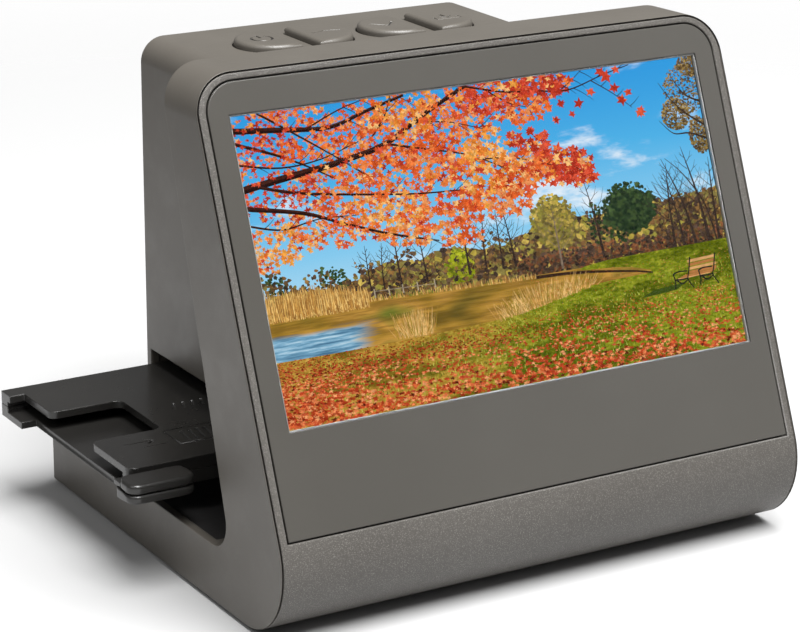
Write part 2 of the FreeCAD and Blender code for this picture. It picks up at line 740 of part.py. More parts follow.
def rounded_box(name, size, place, radius, back=True):
    """A box with its upright edges rounded, those at the back only if wanted."""
    blank = box(name + "_blank", size, place)
    DOC.recompute()
    limit = blank.Shape.BoundBox.Center.y
    length = value(radius)
    rounded = DOC.addObject("Part::Fillet", name)
    rounded.Base = blank
    rounded.Edges = [(number, length, length) for number, edge in enumerate(blank.Shape.Edges, start=1)
                     if runs_along(edge, "z") and (back or edge.CenterOfMass.y < limit)]
    return rounded


def film_tray():
    """Lower plate, hinged lid and hinge pins of the film tray."""
    wide = "2 * dims.tray_half"
    deep = "dims.tray_back - dims.tray_front"
    lower = [rounded_box("tray_floor", (wide, deep, "dims.tray_seam - dims.tray_low"),
                         ("-dims.tray_half", "dims.tray_front", "dims.tray_low"), "dims.tray_round", False)]
    upper = [rounded_box("lid_plate", (wide, deep, "dims.tray_high - dims.tray_seam - 0.1"),
                         ("-dims.tray_half", "dims.tray_front", "dims.tray_seam + 0.1"),
                         "dims.tray_round", False)]
    for number, across in enumerate(("-dims.tray_half - 3.5", "dims.tray_half - 0.5")):
        lower.append(box("floor_ear_%d" % number, ("4", "10.6", "1.9"),
                         (across, "dims.tray_back - 10.6", "dims.tray_low")))
        lower.append(box("floor_ear_wall_%d" % number, ("4", "3.2", "2.8"),
                         (across, "dims.tray_back - 3.2", "dims.tray_low")))
        upper.append(box("lid_ear_%d" % number, ("4", "4.6", "2.7"),
                         (across, "dims.tray_back - 4.6", "dims.tray_seam + 0.1")))
    lower.append(rounded_box("grip_low", ("15", "8.5", "1.9"), ("-75.5", "-13.8", "dims.tray_low + 0.9"),
                             "dims.grip_round"))
    upper.append(rounded_box("grip_high", ("15", "6.6", "2.2"), ("-75.5", "-13.8", "dims.tray_seam + 0.1"),
                             "dims.grip_round"))
    upper.append(box("grip_web", ("14", "3", "1"), ("-75", "-7.8", "dims.tray_seam + 0.1")))
    channel = box("floor_channel", ("200", "dims.channel_wide", "4"),
                  ("-100", "dims.lens_line - dims.channel_wide / 2", "dims.tray_seam - 1.3"))
    lid_channel = box("lid_channel", ("200", "dims.channel_wide", "4"),
                      ("-100", "dims.lens_line - dims.channel_wide / 2", "dims.tray_seam - 2.8"))
    floor_tools = [channel, block_on("floor_window", "dims.frame_wide / 2", "dims.frame_deep", "10",
                                     ("0", "dims.lens_line"), "16")]
    lid_tools = [lid_channel, block_on("lid_window", "dims.frame_wide / 2", "dims.frame_deep", "10",
                                       ("0", "dims.lens_line"), "18")]
    for number, across in enumerate(("-dims.tray_half - 10", "dims.tray_half - 16.5")):
        lid_tools.append(rounded_box("finger_notch_%d" % number, ("26.5", "20.2", "10"),
                                     (across, "12.7", "20"), "dims.tray_round"))
    lugs = []
    lug_bores = []
    pins = []
    for number, middle in enumerate(("-64", "64")):
        floor_tools.append(block_on("lug_room_%d" % number, "3", "6", "6", (middle, "49"), "18"))
        floor_tools.append(rod("pin_seat_%d" % number, "dims.pin_radius + 0.05", "11",
                               (middle + " - 5.5", "dims.hinge_line", "dims.hinge_height"), "x"))
        lugs.append(block_on("lug_%d" % number, "2.7", "3", "2.8",
                             (middle, "dims.hinge_line"), "19.4"))
        lug_bores.append(rod("lug_bore_%d" % number, "dims.pin_radius + 0.08", "8",
                             (middle + " - 4", "dims.hinge_line", "dims.hinge_height"), "x"))
        pins.append(rod("pin_%d" % number, "dims.pin_radius", "10.6",
                        (middle + " - 5.3", "dims.hinge_line", "dims.hinge_height"), "x"))
    floor = cut("tray_floor_plate", fuse("tray_floor_blank", lower), floor_tools)
    lid = cut("tray_lid", fuse("lid_blank", [cut("lid_cut", fuse("lid_top", upper), lid_tools)] + lugs),
              lug_bores)
    return [floor, lid, group("tray_hinge_pins", pins)]


def check(nodes):
    """Stop if any object failed or any node has no valid solid."""
    for item in DOC.Objects:
        if "Invalid" in item.State or "Error" in item.State:
            raise RuntimeError("%s failed: %s" % (item.Label, item.State))
    for node in nodes:
        shape = node.Shape
        if shape.isNull() or not shape.isValid() or not shape.Solids:
            raise RuntimeError("%s has no valid solid" % node.Label)


def main():
    fill_sheet()
    nodes = [main_housing(), tower_housing(), front_bezel(), screen_window(), base_cover(),
             rubber_feet()]
    nodes += casing_screws()
    nodes += push_buttons()
    nodes += display()
    nodes += main_circuit_board()
    nodes += sockets()
    nodes += button_board()
    nodes.append(optics_frame())
    nodes += lens()
    nodes += camera_sensor()
    nodes.append(board_screws())
    nodes.append(film_deck())
    nodes += light_source()
    nodes += film_tray()
    DOC.recompute()
    check(nodes)
    os.makedirs("parts", exist_ok=True)
    for node in nodes:
        node.Shape.exportStep("parts/%s.step" % node.Label)
        print("%-22s solids %d volume %.0f" % (node.Label, len(node.Shape.Solids), node.Shape.Volume))


main()
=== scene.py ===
"""Looks of the slide viewer: finishes for the CAD parts, and finer pieces that stand for some of them.

Lengths are in metres, and those in millimetres go through mm(). The picture on the screen is laid out
in millimetres of the view, from its lower left corner.
"""

import sys

import logging
import math
import random
from dataclasses import dataclass
from enum import Enum
from typing import Callable, Iterable, Protocol, Sequence

import bmesh
import bpy
from mathutils import Matrix, Vector


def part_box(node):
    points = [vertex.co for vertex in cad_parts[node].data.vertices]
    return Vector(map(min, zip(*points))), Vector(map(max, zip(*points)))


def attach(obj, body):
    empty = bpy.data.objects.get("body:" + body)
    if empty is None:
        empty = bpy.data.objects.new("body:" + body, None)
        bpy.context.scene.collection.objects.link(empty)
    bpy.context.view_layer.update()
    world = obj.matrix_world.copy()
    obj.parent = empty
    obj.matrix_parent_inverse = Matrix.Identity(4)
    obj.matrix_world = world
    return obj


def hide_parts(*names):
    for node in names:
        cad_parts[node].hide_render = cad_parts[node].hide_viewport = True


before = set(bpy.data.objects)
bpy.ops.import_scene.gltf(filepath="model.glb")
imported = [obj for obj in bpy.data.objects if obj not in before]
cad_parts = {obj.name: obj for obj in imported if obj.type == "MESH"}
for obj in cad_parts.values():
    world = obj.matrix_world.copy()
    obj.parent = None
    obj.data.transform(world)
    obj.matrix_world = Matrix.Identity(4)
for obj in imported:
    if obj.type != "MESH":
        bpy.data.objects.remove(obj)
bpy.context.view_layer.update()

log = logging.getLogger("slide_viewer")

Colour = tuple[float, float, float, float]
Point = tuple[float, float]

SHARP_ANGLE = math.radians(32)
MERGE_GAP = 2e-6
FLAT_ANGLE = math.radians(0.8)
SPAN_LIFT = 1e-7
ROW_LIFT = 1e-6


def mm(value: float) -> float:
    """Millimetres to metres."""
    return value / 1000


def paint(red: int, green: int, blue: int) -> Colour:
    """A display colour, 0 to 255, as a linear one.

    Args:
        red: its red level.
        green: its green level.
        blue: its blue level.

    Returns:
        The linear colour, opaque.
    """
    def linear(level: int) -> float:
        """One channel."""
        share = level / 255
        return share / 12.92 if share <= 0.04045 else ((share + 0.055) / 1.055) ** 2.4
    return linear(red), linear(green), linear(blue), 1.0


# Materials


class Slot(Enum):
    """The record's material slots."""

    SHELL = "grey_shell"
    BEZEL = "textured_bezel"
    WINDOW = "window_glass"
    BLACK = "black_plastic"
    TRAY = "tray_plastic"
    RUBBER = "rubber"
    STEEL = "steel"
    DISPLAY = "display"
    SHEET_METAL = "metal_tray"
    CIRCUIT = "circuit"
    CHIP = "chip"
    RIBBON = "ribbon"
    WHITE = "white_plastic"
    OPAL = "opal"
    LAMP = "lamp"


class Nodes:
    """Short calls for adding nodes to a tree and wiring them."""

    def __init__(self, tree: bpy.types.NodeTree) -> None:
        """Keep the tree that the nodes go in."""
        self.tree = tree

    def wire(self, socket: bpy.types.NodeSocket, value: object) -> None:
        """Link a socket to another, or set its own value.

        Args:
            socket: the input to feed.
            value: an output socket, a number, a vector or a colour.
        """
        if isinstance(value, bpy.types.NodeSocket):
            self.tree.links.new(value, socket)
        else:
            socket.default_value = value

    def add(self, kind: str, inputs: dict[object, object] | None = None,
            **settings: object) -> bpy.types.Node:
        """Add a node.

        Args:
            kind: the node's type without its ShaderNode prefix.
            inputs: values or sockets for its inputs, by name or number.
            settings: the node's own settings.

        Returns:
            The node.
        """
        node = self.tree.nodes.new("ShaderNode" + kind)
        for name, value in settings.items():
            setattr(node, name, value)
        for name, value in (inputs or {}).items():
            self.wire(node.inputs[name], value)
        return node

    def maths(self, operation: str, *values: object, clamp: bool = False) -> bpy.types.NodeSocket:
        """Add a Math node and return its result."""
        node = self.add("Math", dict(enumerate(values)), operation=operation, use_clamp=clamp)
        return node.outputs[0]

    def remap(self, value: object, low: float, high: float, new_low: float = 0.0,
              new_high: float = 1.0) -> bpy.types.NodeSocket:
        """Stretch a range of values onto another, smoothly and with clamped ends.

        Args:
            value: the value to stretch.
            low: where its range starts.
            high: where its range ends.
            new_low: what it is at the start.
            new_high: what it is at the end.

        Returns:
            The socket with the result.
        """
        node = self.add("MapRange", {"Value": value, "From Min": low, "From Max": high,
                                     "To Min": new_low, "To Max": new_high},
                        interpolation_type="SMOOTHSTEP")
        return node.outputs[0]

    def mix(self, share: object, first: object, second: object) -> bpy.types.NodeSocket:
        """Mix two colours."""
        node = self.add("Mix", {0: share, 6: first, 7: second}, data_type="RGBA")
        return node.outputs[2]

    def ramp(self, value: object, stops: Sequence[tuple[float, Colour]]) -> bpy.types.NodeSocket:
        """Colour a value by a row of stops.

        Args:
            value: the value, from 0 to 1.
            stops: each stop's place and colour.

        Returns:
            The socket with the colour.
        """
        node = self.add("ValToRGB", {0: value})
        band = node.color_ramp
        while len(band.elements) < len(stops):
            band.elements.new(1.0)
        for element, (place, colour) in zip(band.elements, stops):
            element.position = place
            element.color = colour
        return node.outputs[0]

    def noise(self, place: object, scale: object, detail: float = 3.0,
              rough: float = 0.5) -> bpy.types.NodeSocket:
        """Noise from 0 to 1 at a place."""
        node = self.add("TexNoise", {"Vector": place, "Scale": scale, "Detail": detail,
                                     "Roughness": rough})
        return node.outputs[0]

    def stretched(self, place: object, scale: Sequence[float]) -> bpy.types.NodeSocket:
        """A place scaled by a different amount along each axis."""
        node = self.add("Mapping", {"Vector": place, "Scale": tuple(scale)})
        return node.outputs[0]

    def group(self, tree: bpy.types.NodeTree, **values: object) -> bpy.types.Node:
        """Add a node group with its own values, an underscore in a name standing for a space.

        Args:
            tree: the group.
            values: values or sockets for its inputs, by name.

        Returns:
            The group's node.
        """
        node = self.add("Group", node_tree=tree)
        for name, value in values.items():
            self.wire(node.inputs[name.replace("_", " ")], value)
        return node


def new_group(name: str, inputs: dict[str, float | None], outputs: dict[str, str]) -> tuple[
        bpy.types.NodeTree, Nodes, bpy.types.Node, bpy.types.Node]:
    """Start a shader node group.

    Args:
        name: the group's name.
        inputs: each input's name and default, or None for a vector.
        outputs: each output's name and kind, Float, Color or Vector.

    Returns:
        The group, its node maker, and its input and output nodes.
    """
    tree = bpy.data.node_groups.new(name, "ShaderNodeTree")
    for label, default in inputs.items():
        kind = "NodeSocketVector" if default is None else "NodeSocketFloat"
        socket = tree.interface.new_socket(label, in_out="INPUT", socket_type=kind)
        if default is not None:
            socket.default_value = default
    for label, kind in outputs.items():
        tree.interface.new_socket(label, in_out="OUTPUT", socket_type="NodeSocket" + kind)
    start = tree.nodes.new("NodeGroupInput")
    end = tree.nodes.new("NodeGroupOutput")
    return tree, Nodes(tree), start, end


def make_scuff_and_highlight_edges() -> bpy.types.NodeTree:
    """Group: a broken mask of the edges, which the finishes paint lighter as part wear and part painted
    highlight, and the normal with its edges rounded.

    Returns:
        The group.
    """
    tree, nodes, start, end = new_group(
        "scuff_and_highlight_edges", {"Place": None, "Radius": 0.0004, "Amount": 0.5}, {"Mask": "Float", "Normal": "Vector"})
    bevel = nodes.add("Bevel", {"Radius": start.outputs["Radius"]}, samples=4)
    flat = nodes.add("NewGeometry")
    dot = nodes.add("VectorMath", {0: bevel.outputs[0], 1: flat.outputs["Normal"]}, operation="DOT_PRODUCT")
    turned = nodes.maths("SUBTRACT", 1.0, dot.outputs["Value"])
    edge = nodes.remap(turned, 0.02, 0.22)
    broken = nodes.remap(nodes.noise(start.outputs["Place"], 210.0, 4.0, 0.6), 0.35, 0.68)
    nodes.wire(end.inputs["Mask"], nodes.maths("MULTIPLY", nodes.maths("MULTIPLY", edge, broken),
                                               start.outputs["Amount"], clamp=True))
    nodes.wire(end.inputs["Normal"], bevel.outputs[0])
    return tree


def make_spark_grain() -> bpy.types.NodeTree:
    """Group: the fine pebbled grain of a spark-eroded mould, as a height and as bright specks on its peaks,
    which the moulded finishes paint as glints.

    Returns:
        The group.
    """
    tree, nodes, start, end = new_group(
        "spark_grain", {"Place": None, "Scale": 2600.0}, {"Height": "Float", "Speck": "Float"})
    scale = start.outputs["Scale"]
    coarse = nodes.noise(start.outputs["Place"], scale, 2.0, 0.6)
    cells = nodes.add("TexVoronoi", {"Vector": start.outputs["Place"],
                                     "Scale": nodes.maths("MULTIPLY", scale, 0.8)})
    mixed = nodes.maths("MULTIPLY_ADD", cells.outputs["Distance"], -0.45, coarse)
    nodes.wire(end.inputs["Height"], mixed)
    nodes.wire(end.inputs["Speck"], nodes.remap(mixed, 0.30, 0.52))
    return tree


def make_handling() -> bpy.types.NodeTree:
    """Group: broad cloudy variation and faint smudges, for colour and for roughness.

    Returns:
        The group.
    """
    tree, nodes, start, end = new_group("handling", {"Place": None}, {"Cloud": "Float", "Smudge": "Float"})
    place = start.outputs["Place"]
    nodes.wire(end.inputs["Cloud"], nodes.remap(nodes.noise(place, 34.0, 3.0, 0.55), 0.3, 0.7))
    nodes.wire(end.inputs["Smudge"], nodes.remap(nodes.noise(place, 120.0, 5.0, 0.65), 0.42, 0.75))
    return tree


# Lighter edges: part wear, part painted highlight.
SCUFF_AND_HIGHLIGHT_EDGES = make_scuff_and_highlight_edges()
SPARK_GRAIN = make_spark_grain()
HANDLING = make_handling()


def new_material(name: str) -> tuple[bpy.types.Material, Nodes, bpy.types.Node, bpy.types.NodeSocket]:
    """Start a material.

    Args:
        name: the material's name.

    Returns:
        The material, its node maker, its Principled BSDF and the Object coordinates.
    """
    material = bpy.data.materials.new(name)
    material.use_nodes = True
    material.node_tree.nodes.clear()
    nodes = Nodes(material.node_tree)
    shader = nodes.add("BsdfPrincipled")
    output = nodes.add("OutputMaterial")
    nodes.wire(output.inputs["Surface"], shader.outputs[0])
    place = nodes.add("TexCoord").outputs["Object"]
    return material, nodes, shader, place


class Finish(Protocol):
    """What every finish has: a name, and a method that builds its material."""

    @property
    def name(self) -> str:
        """The material's name."""

    def material(self) -> bpy.types.Material:
        """Build the material."""


@dataclass(frozen=True)
class Moulded:
    """A moulded plastic or rubber: its colour, grain and gloss, its edges painted lighter as part wear and
    part painted highlight, and light specks on its grain painted as glints.
    """

    name: str
    colour: Colour
    shade: Colour
    # The colour of the lighter edges and specks: part wear, part painted highlight and glints.
    scuff_and_highlight_colour: Colour
    roughness: float = 0.45
    smudging: float = 0.08
    grain_scale: float = 2600.0
    grain_height: float = 0.00002
    # How strongly the grain's peaks are painted lighter as glints.
    speck: float = 0.15
    edge_radius: float = 0.0004
    # How strongly the edges are painted lighter, as wear and as painted highlight.
    edge_scuff_and_highlight: float = 0.5
    coat: float = 0.0
    coat_roughness: float = 0.12
    edge_polish: float = 0.12
    metallic: float = 0.0

    def material(self) -> bpy.types.Material:
        """Build the material.

        Returns:
            The material.
        """
        material, nodes, shader, place = new_material(self.name)
        edge_scuff_and_highlight = nodes.group(SCUFF_AND_HIGHLIGHT_EDGES, Place=place, Radius=self.edge_radius, Amount=self.edge_scuff_and_highlight)
        grain = nodes.group(SPARK_GRAIN, Place=place, Scale=self.grain_scale)
        handling = nodes.group(HANDLING, Place=place)
        tone = nodes.mix(handling.outputs["Cloud"], self.colour, self.shade)
        # Light specks on the grain's peaks: painted glints.
        specked = nodes.mix(nodes.maths("MULTIPLY", grain.outputs["Speck"], self.speck), tone, self.scuff_and_highlight_colour)
        # Lighter edges: part wear, part painted highlight on the rounded edges.
        nodes.wire(shader.inputs["Base Color"], nodes.mix(edge_scuff_and_highlight.outputs["Mask"], specked, self.scuff_and_highlight_colour))
        gloss = nodes.maths("MULTIPLY_ADD", handling.outputs["Smudge"], -self.smudging, self.roughness)
        rubbed = nodes.maths("MULTIPLY_ADD", edge_scuff_and_highlight.outputs["Mask"], -self.edge_polish, gloss, clamp=True)
        nodes.wire(shader.inputs["Roughness"], rubbed)
        bump = nodes.add("Bump", {"Height": grain.outputs["Height"], "Distance": self.grain_height,
                                  "Normal": edge_scuff_and_highlight.outputs["Normal"]})
        nodes.wire(shader.inputs["Normal"], bump.outputs[0])
        shader.inputs["Metallic"].default_value = self.metallic
        shader.inputs["Coat Weight"].default_value = self.coat
        shader.inputs["Coat Roughness"].default_value = self.coat_roughness
        return material


@dataclass(frozen=True)
class ClearPlate:
    """A clear glass or acrylic."""

    name: str
    colour: Colour
    ior: float = 1.49
    roughness: float = 0.02
    smudging: float = 0.02

    def material(self) -> bpy.types.Material:
        """Build the material.

        Returns:
            The material.
        """
        material, nodes, shader, place = new_material(self.name)
        handling = nodes.group(HANDLING, Place=place)
        shader.inputs["Base Color"].default_value = self.colour
        shader.inputs["Transmission Weight"].default_value = 1.0
        shader.inputs["IOR"].default_value = self.ior
        nodes.wire(shader.inputs["Roughness"],
                   nodes.maths("MULTIPLY_ADD", handling.outputs["Smudge"], self.smudging, self.roughness))
        return material


@dataclass(frozen=True)
class Circuit:
    """A solder-masked board with tracks and pads."""

    name: str
    mask: Colour
    track: Colour
    track_scale: float = 520.0
    track_height: float = 0.00004
    roughness: float = 0.28
    grain: float = 0.15

    def material(self) -> bpy.types.Material:
        """Build the material.

        Returns:
            The material.
        """
        material, nodes, shader, place = new_material(self.name)
        cells = nodes.add("TexVoronoi", {"Vector": nodes.stretched(place, (1, 1, 0.2)),
                                     "Scale": self.track_scale},
                          distance="CHEBYCHEV", feature="DISTANCE_TO_EDGE")
        lines = nodes.remap(cells.outputs["Distance"], 0.05, 0.02)
        grain = nodes.group(SPARK_GRAIN, Place=place, Scale=3000.0)
        nodes.wire(shader.inputs["Base Color"], nodes.mix(lines, self.mask, self.track))
        nodes.wire(shader.inputs["Roughness"],
                   nodes.maths("MULTIPLY_ADD", grain.outputs["Speck"], self.grain, self.roughness))
        bump = nodes.add("Bump", {"Height": lines, "Distance": self.track_height})
        nodes.wire(shader.inputs["Normal"], bump.outputs[0])
        return material


SHELL = Moulded("satin_grey_shell", paint(84, 80, 74), paint(80, 76, 70), paint(124, 119, 112),
                roughness=0.42, speck=0.04, grain_height=0.000006, edge_scuff_and_highlight=0.45)
BEZEL = Moulded("spark_textured_grey", paint(70, 67, 63), paint(66, 63, 59), paint(150, 146, 140),
                roughness=0.46, speck=0.34, grain_scale=4700.0, grain_height=0.00005, edge_scuff_and_highlight=0.4)
SMOKED = Moulded("smoked_window_border", paint(66, 64, 60), paint(64, 62, 58), paint(92, 90, 86),
                 roughness=0.26, smudging=0.03, speck=0.02, grain_height=0.000001, edge_scuff_and_highlight=0.1, coat=0.25)
BLACK = Moulded("matt_black_moulding", paint(38, 37, 37), paint(32, 31, 31), paint(70, 68, 66),
                roughness=0.55, speck=0.08, grain_height=0.00002, edge_scuff_and_highlight=0.35)
TRAY = Moulded("satin_black_tray", paint(35, 34, 32), paint(30, 29, 28), paint(84, 82, 78),
               roughness=0.30, smudging=0.04, speck=0.04, grain_height=0.000006, edge_scuff_and_highlight=0.45, coat=0.15)
# The dark floor in each sunken icon: painted shade of the recess.
ICON_SHADE = Moulded("painted_recess_shade", paint(34, 33, 31), paint(30, 29, 28), paint(60, 58, 56), roughness=0.6)
RUBBER = Moulded("soft_black_rubber", paint(42, 41, 41), paint(34, 34, 34), paint(66, 64, 62),
                 roughness=0.85, speck=0.1, grain_scale=1800.0, grain_height=0.00004, edge_scuff_and_highlight=0.3)
STEEL = Moulded("zinc_plated_steel", paint(168, 168, 170), paint(146, 147, 150), paint(205, 205, 206),
                roughness=0.36, speck=0.12, grain_scale=1600.0, metallic=1.0)
SHEET_METAL = Moulded("pressed_sheet_metal", paint(186, 187, 190), paint(170, 171, 174),
                      paint(214, 214, 216), roughness=0.42, speck=0.1, metallic=1.0)
CHIP = Moulded("moulded_chip", paint(44, 44, 47), paint(36, 36, 39), paint(74, 74, 78), roughness=0.6)
RIBBON = Moulded("flexible_ribbon", paint(204, 146, 72), paint(188, 128, 58), paint(228, 178, 110),
                 roughness=0.35, edge_scuff_and_highlight=0.2)
WHITE = Moulded("white_reflector_plastic", paint(232, 231, 226), paint(222, 220, 214),
                paint(244, 244, 240), roughness=0.5, speck=0.1)
OPAL = Moulded("opal_diffuser", paint(240, 240, 236), paint(234, 234, 230), paint(250, 250, 248),
               roughness=0.6, speck=0.2)
LAMP = Moulded("lamp_package", paint(240, 224, 130), paint(232, 212, 112), paint(250, 240, 180),
               roughness=0.25, edge_scuff_and_highlight=0.1)
RIM = Moulded("pale_display_rim", paint(150, 150, 148), paint(140, 140, 138), paint(186, 186, 184),
              roughness=0.4, edge_scuff_and_highlight=0.1)
GLASS = ClearPlate("coated_lens_glass", paint(236, 240, 246), ior=1.52)
PANE = ClearPlate("clear_window_pane", (1.0, 1.0, 1.0, 1.0), ior=1.12, roughness=0.0)
CIRCUIT = Circuit("solder_masked_board", paint(24, 92, 56), paint(58, 132, 84))

NODE_FINISHES: dict[str, Finish] = {
    "main_housing": SHELL, "tower_housing": SHELL, "front_bezel": BEZEL, "screen_window": SMOKED,
    "base_cover": SHELL, "rubber_feet": RUBBER, "base_screws": STEEL, "tower_screws": STEEL,
    "power_button": SHELL, "up_button": SHELL, "down_button": SHELL, "save_button": SHELL,
    "lcd_panel": BLACK, "backlight_frame": SHEET_METAL, "display_cable": RIBBON,
    "main_circuit_board": CIRCUIT, "board_chips": CHIP, "card_socket": STEEL, "power_socket": STEEL,
    "video_socket": STEEL, "button_board": CIRCUIT, "button_switches": CHIP,
    "button_board_screws": STEEL, "optics_frame": BLACK, "lens_barrel": BLACK,
    "lens_front_glass": GLASS, "lens_back_glass": GLASS, "lens_lock_ring": BLACK,
    "sensor_board": CIRCUIT, "image_sensor": CHIP, "sensor_screws": STEEL, "sensor_cable": RIBBON,
    "main_board_screws": STEEL, "film_deck": BLACK, "light_box": WHITE, "lamp_board": CIRCUIT,
    "lamps": LAMP, "diffuser": OPAL, "lamp_cable": RIBBON, "tray_floor_plate": TRAY,
    "tray_lid": TRAY, "tray_hinge_pins": STEEL,
}


class PaintBox:
    """Builds each finish's material once."""

    def __init__(self) -> None:
        """Start with nothing built."""
        self.built: dict[str, bpy.types.Material] = {}

    def material(self, finish: Finish) -> bpy.types.Material:
        """The material of a finish."""
        if finish.name not in self.built:
            self.built[finish.name] = finish.material()
        return self.built[finish.name]

    def dress(self, piece: bpy.types.Object, finish: Finish) -> None:
        """Give a piece one finish all over."""
        piece.data.materials.clear()
        piece.data.materials.append(self.material(finish))


PAINTS = PaintBox()


# Meshes


def finish_piece(form: bmesh.types.BMesh, name: str, finish: Finish, body: str,
                 replaces: Sequence[str] = ()) -> bpy.types.Object:
    """Turn a bmesh into a finished piece of the model.

    Args:
        form: the shape, in metres, in its place. It is freed.
        name: the piece's name.
        finish: its finish.
        body: the body that it moves with.
        replaces: CAD nodes that it stands for.

    Returns:
        The piece.
    """
    for face in form.faces:
        face.smooth = True
    mesh = bpy.data.meshes.new(name)
    form.to_mesh(mesh)
    form.free()
    mesh.set_sharp_from_angle(angle=SHARP_ANGLE)
    piece = bpy.data.objects.new(name, mesh)
    bpy.context.scene.collection.objects.link(piece)
    PAINTS.dress(piece, finish)
    even = piece.modifiers.new("even_shading", "WEIGHTED_NORMAL")
    even.keep_sharp = True
    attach(piece, body)
    if replaces:
        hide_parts(*replaces)
    log.info("%s rides on %s, %d faces", name, body, len(mesh.polygons))
    return piece


def node_form(node: str) -> bmesh.types.BMesh:
    """A merged copy of a CAD node's mesh, with its flat faces whole again.

    Args:
        node: the CAD node's name.

    Returns:
        The form, in its place.
    """
    form = bmesh.new()
    form.from_mesh(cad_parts[node].data)
    bmesh.ops.remove_doubles(form, verts=form.verts, dist=MERGE_GAP)
    bmesh.ops.dissolve_limit(form, angle_limit=FLAT_ANGLE, verts=form.verts, edges=form.edges)
    return form


def soften(form: bmesh.types.BMesh, width: float, segments: int = 2,
           wanted: Callable[[bmesh.types.BMEdge], bool] = lambda edge: True,
           held_back: bool = True) -> None:
    """Round the sharp outer edges of a form.

    Args:
        form: the shape.
        width: the bevel's width.
        segments: the steps across it.
        wanted: which of the sharp edges to round.
        held_back: leave out edges shorter than the bevel, and narrow it where two would meet.
    """
    sharp = [edge for edge in form.edges
             if len(edge.link_faces) == 2 and edge.calc_face_angle_signed(0) > SHARP_ANGLE
             and (not held_back or edge.calc_length() > 2 * width) and wanted(edge)]
    bmesh.ops.bevel(form, geom=sharp, offset=width, offset_type="OFFSET", affect="EDGES",
                    segments=segments, profile=0.5, material=-1, clamp_overlap=held_back)


# Camera, light and floor


@dataclass(frozen=True)
class SoftLight:
    """A square light: its name, its place and size in metres, and its power in watts."""

    name: str
    place: tuple[float, float, float]
    size: float
    power: float


@dataclass
class Studio:
    """The stage: a long-lens camera, soft lights and a pale floor."""

    camera_place: tuple[float, float, float] = (-0.29977, -0.49339, 0.23230)
    camera_yaw: float = 30.87
    camera_pitch: float = 18.04
    camera_roll: float = 0.374
    lens: float = 127.30
    sensor: float = 36.0
    nearest: float = 0.01
    farthest: float = 50.0
    floor_half: float = 2.0
    floor_tone: Colour = (0.42, 0.42, 0.42, 1)
    floor_pale: Colour = (0.44, 0.44, 0.44, 1)
    floor_roughness: float = 0.7
    fade_start: float = 0.24
    fade_end: float = 0.62
    aim_height: float = mm(50)
    air_light: float = 0.17
    air_seen: float = 1.0
    soft_lights: tuple[SoftLight, ...] = (
        SoftLight("key_light", (-1.5, -0.6, 1.5), 1.2, 10),
        SoftLight("fill_light", (1.5, -1.2, 1.2), 1.6, 3),
        SoftLight("overhead_light", (0.15, -0.6, 1.65), 1.3, 98))

    def build(self) -> None:
        """Make everything on the stage."""
        self.camera()
        self.floor()
        self.lights()
        self.air()

    def camera(self) -> None:
        """Aim the camera from its yaw, pitch and roll."""
        lens = bpy.data.cameras.new("camera")
        lens.lens = self.lens
        lens.sensor_width = self.sensor
        lens.sensor_fit = "HORIZONTAL"
        lens.clip_start = self.nearest
        lens.clip_end = self.farthest
        camera = bpy.data.objects.new("camera", lens)
        bpy.context.scene.collection.objects.link(camera)
        turn = (Matrix.Rotation(-math.radians(self.camera_yaw), 4, "Z")
                @ Matrix.Rotation(math.radians(90 - self.camera_pitch), 4, "X")
                @ Matrix.Rotation(math.radians(self.camera_roll), 4, "Z"))
        camera.matrix_world = Matrix.Translation(self.camera_place) @ turn
        bpy.context.scene.camera = camera

    def floor(self) -> None:
        """Lay a wide pale floor under the feet, fading out away from the object."""
        form = bmesh.new()
        bmesh.ops.create_grid(form, x_segments=2, y_segments=2, size=self.floor_half)
        mesh = bpy.data.meshes.new("floor")
        form.to_mesh(mesh)
        form.free()
        floor = bpy.data.objects.new("floor", mesh)
        bpy.context.scene.collection.objects.link(floor)
        material, nodes, shader, place = new_material("pale_floor")
        soft = nodes.noise(place, 3.0, 2.0)
        nodes.wire(shader.inputs["Base Color"], nodes.mix(soft, self.floor_tone, self.floor_pale))
        shader.inputs["Roughness"].default_value = self.floor_roughness
        reach = nodes.add("VectorMath", {0: place}, operation="LENGTH").outputs["Value"]
        nodes.wire(shader.inputs["Alpha"], nodes.remap(reach, self.fade_end, self.fade_start))
        mesh.materials.append(material)

    def lights(self) -> None:
        """Hang the soft lights, each aimed at the middle of the object."""
        for soft in self.soft_lights:
            light = bpy.data.lights.new(soft.name, "AREA")
            light.shape = "SQUARE"
            light.size = soft.size
            light.energy = soft.power
            lamp = bpy.data.objects.new(soft.name, light)
            bpy.context.scene.collection.objects.link(lamp)
            aim = Vector((0, 0, self.aim_height)) - Vector(soft.place)
            turn = aim.to_track_quat("-Z", "Y").to_matrix().to_4x4()
            lamp.matrix_world = Matrix.Translation(soft.place) @ turn

    def air(self) -> None:
        """Fill the room with dim white light, seen by the camera as plain white."""
        world = bpy.data.worlds.new("studio")
        world.use_nodes = True
        background = world.node_tree.nodes["Background"]
        background.inputs["Color"].default_value = (1, 1, 1, 1)
        nodes = Nodes(world.node_tree)
        seen = nodes.add("LightPath").outputs["Is Camera Ray"]
        nodes.wire(background.inputs["Strength"], nodes.remap(seen, 0.0, 1.0, self.air_light, self.air_seen))
        bpy.context.scene.world = world
        bpy.context.scene.view_settings.view_transform = "Standard"


# Shapes and cuts


def arc_points(centre: Point, radius: float, start: float, end: float, steps: int) -> list[Point]:
    """Points along an arc, its angles in degrees, counted anticlockwise from the right."""
    return [(centre[0] + radius * math.cos(math.radians(start + (end - start) * step / steps)),
             centre[1] + radius * math.sin(math.radians(start + (end - start) * step / steps)))
            for step in range(steps + 1)]


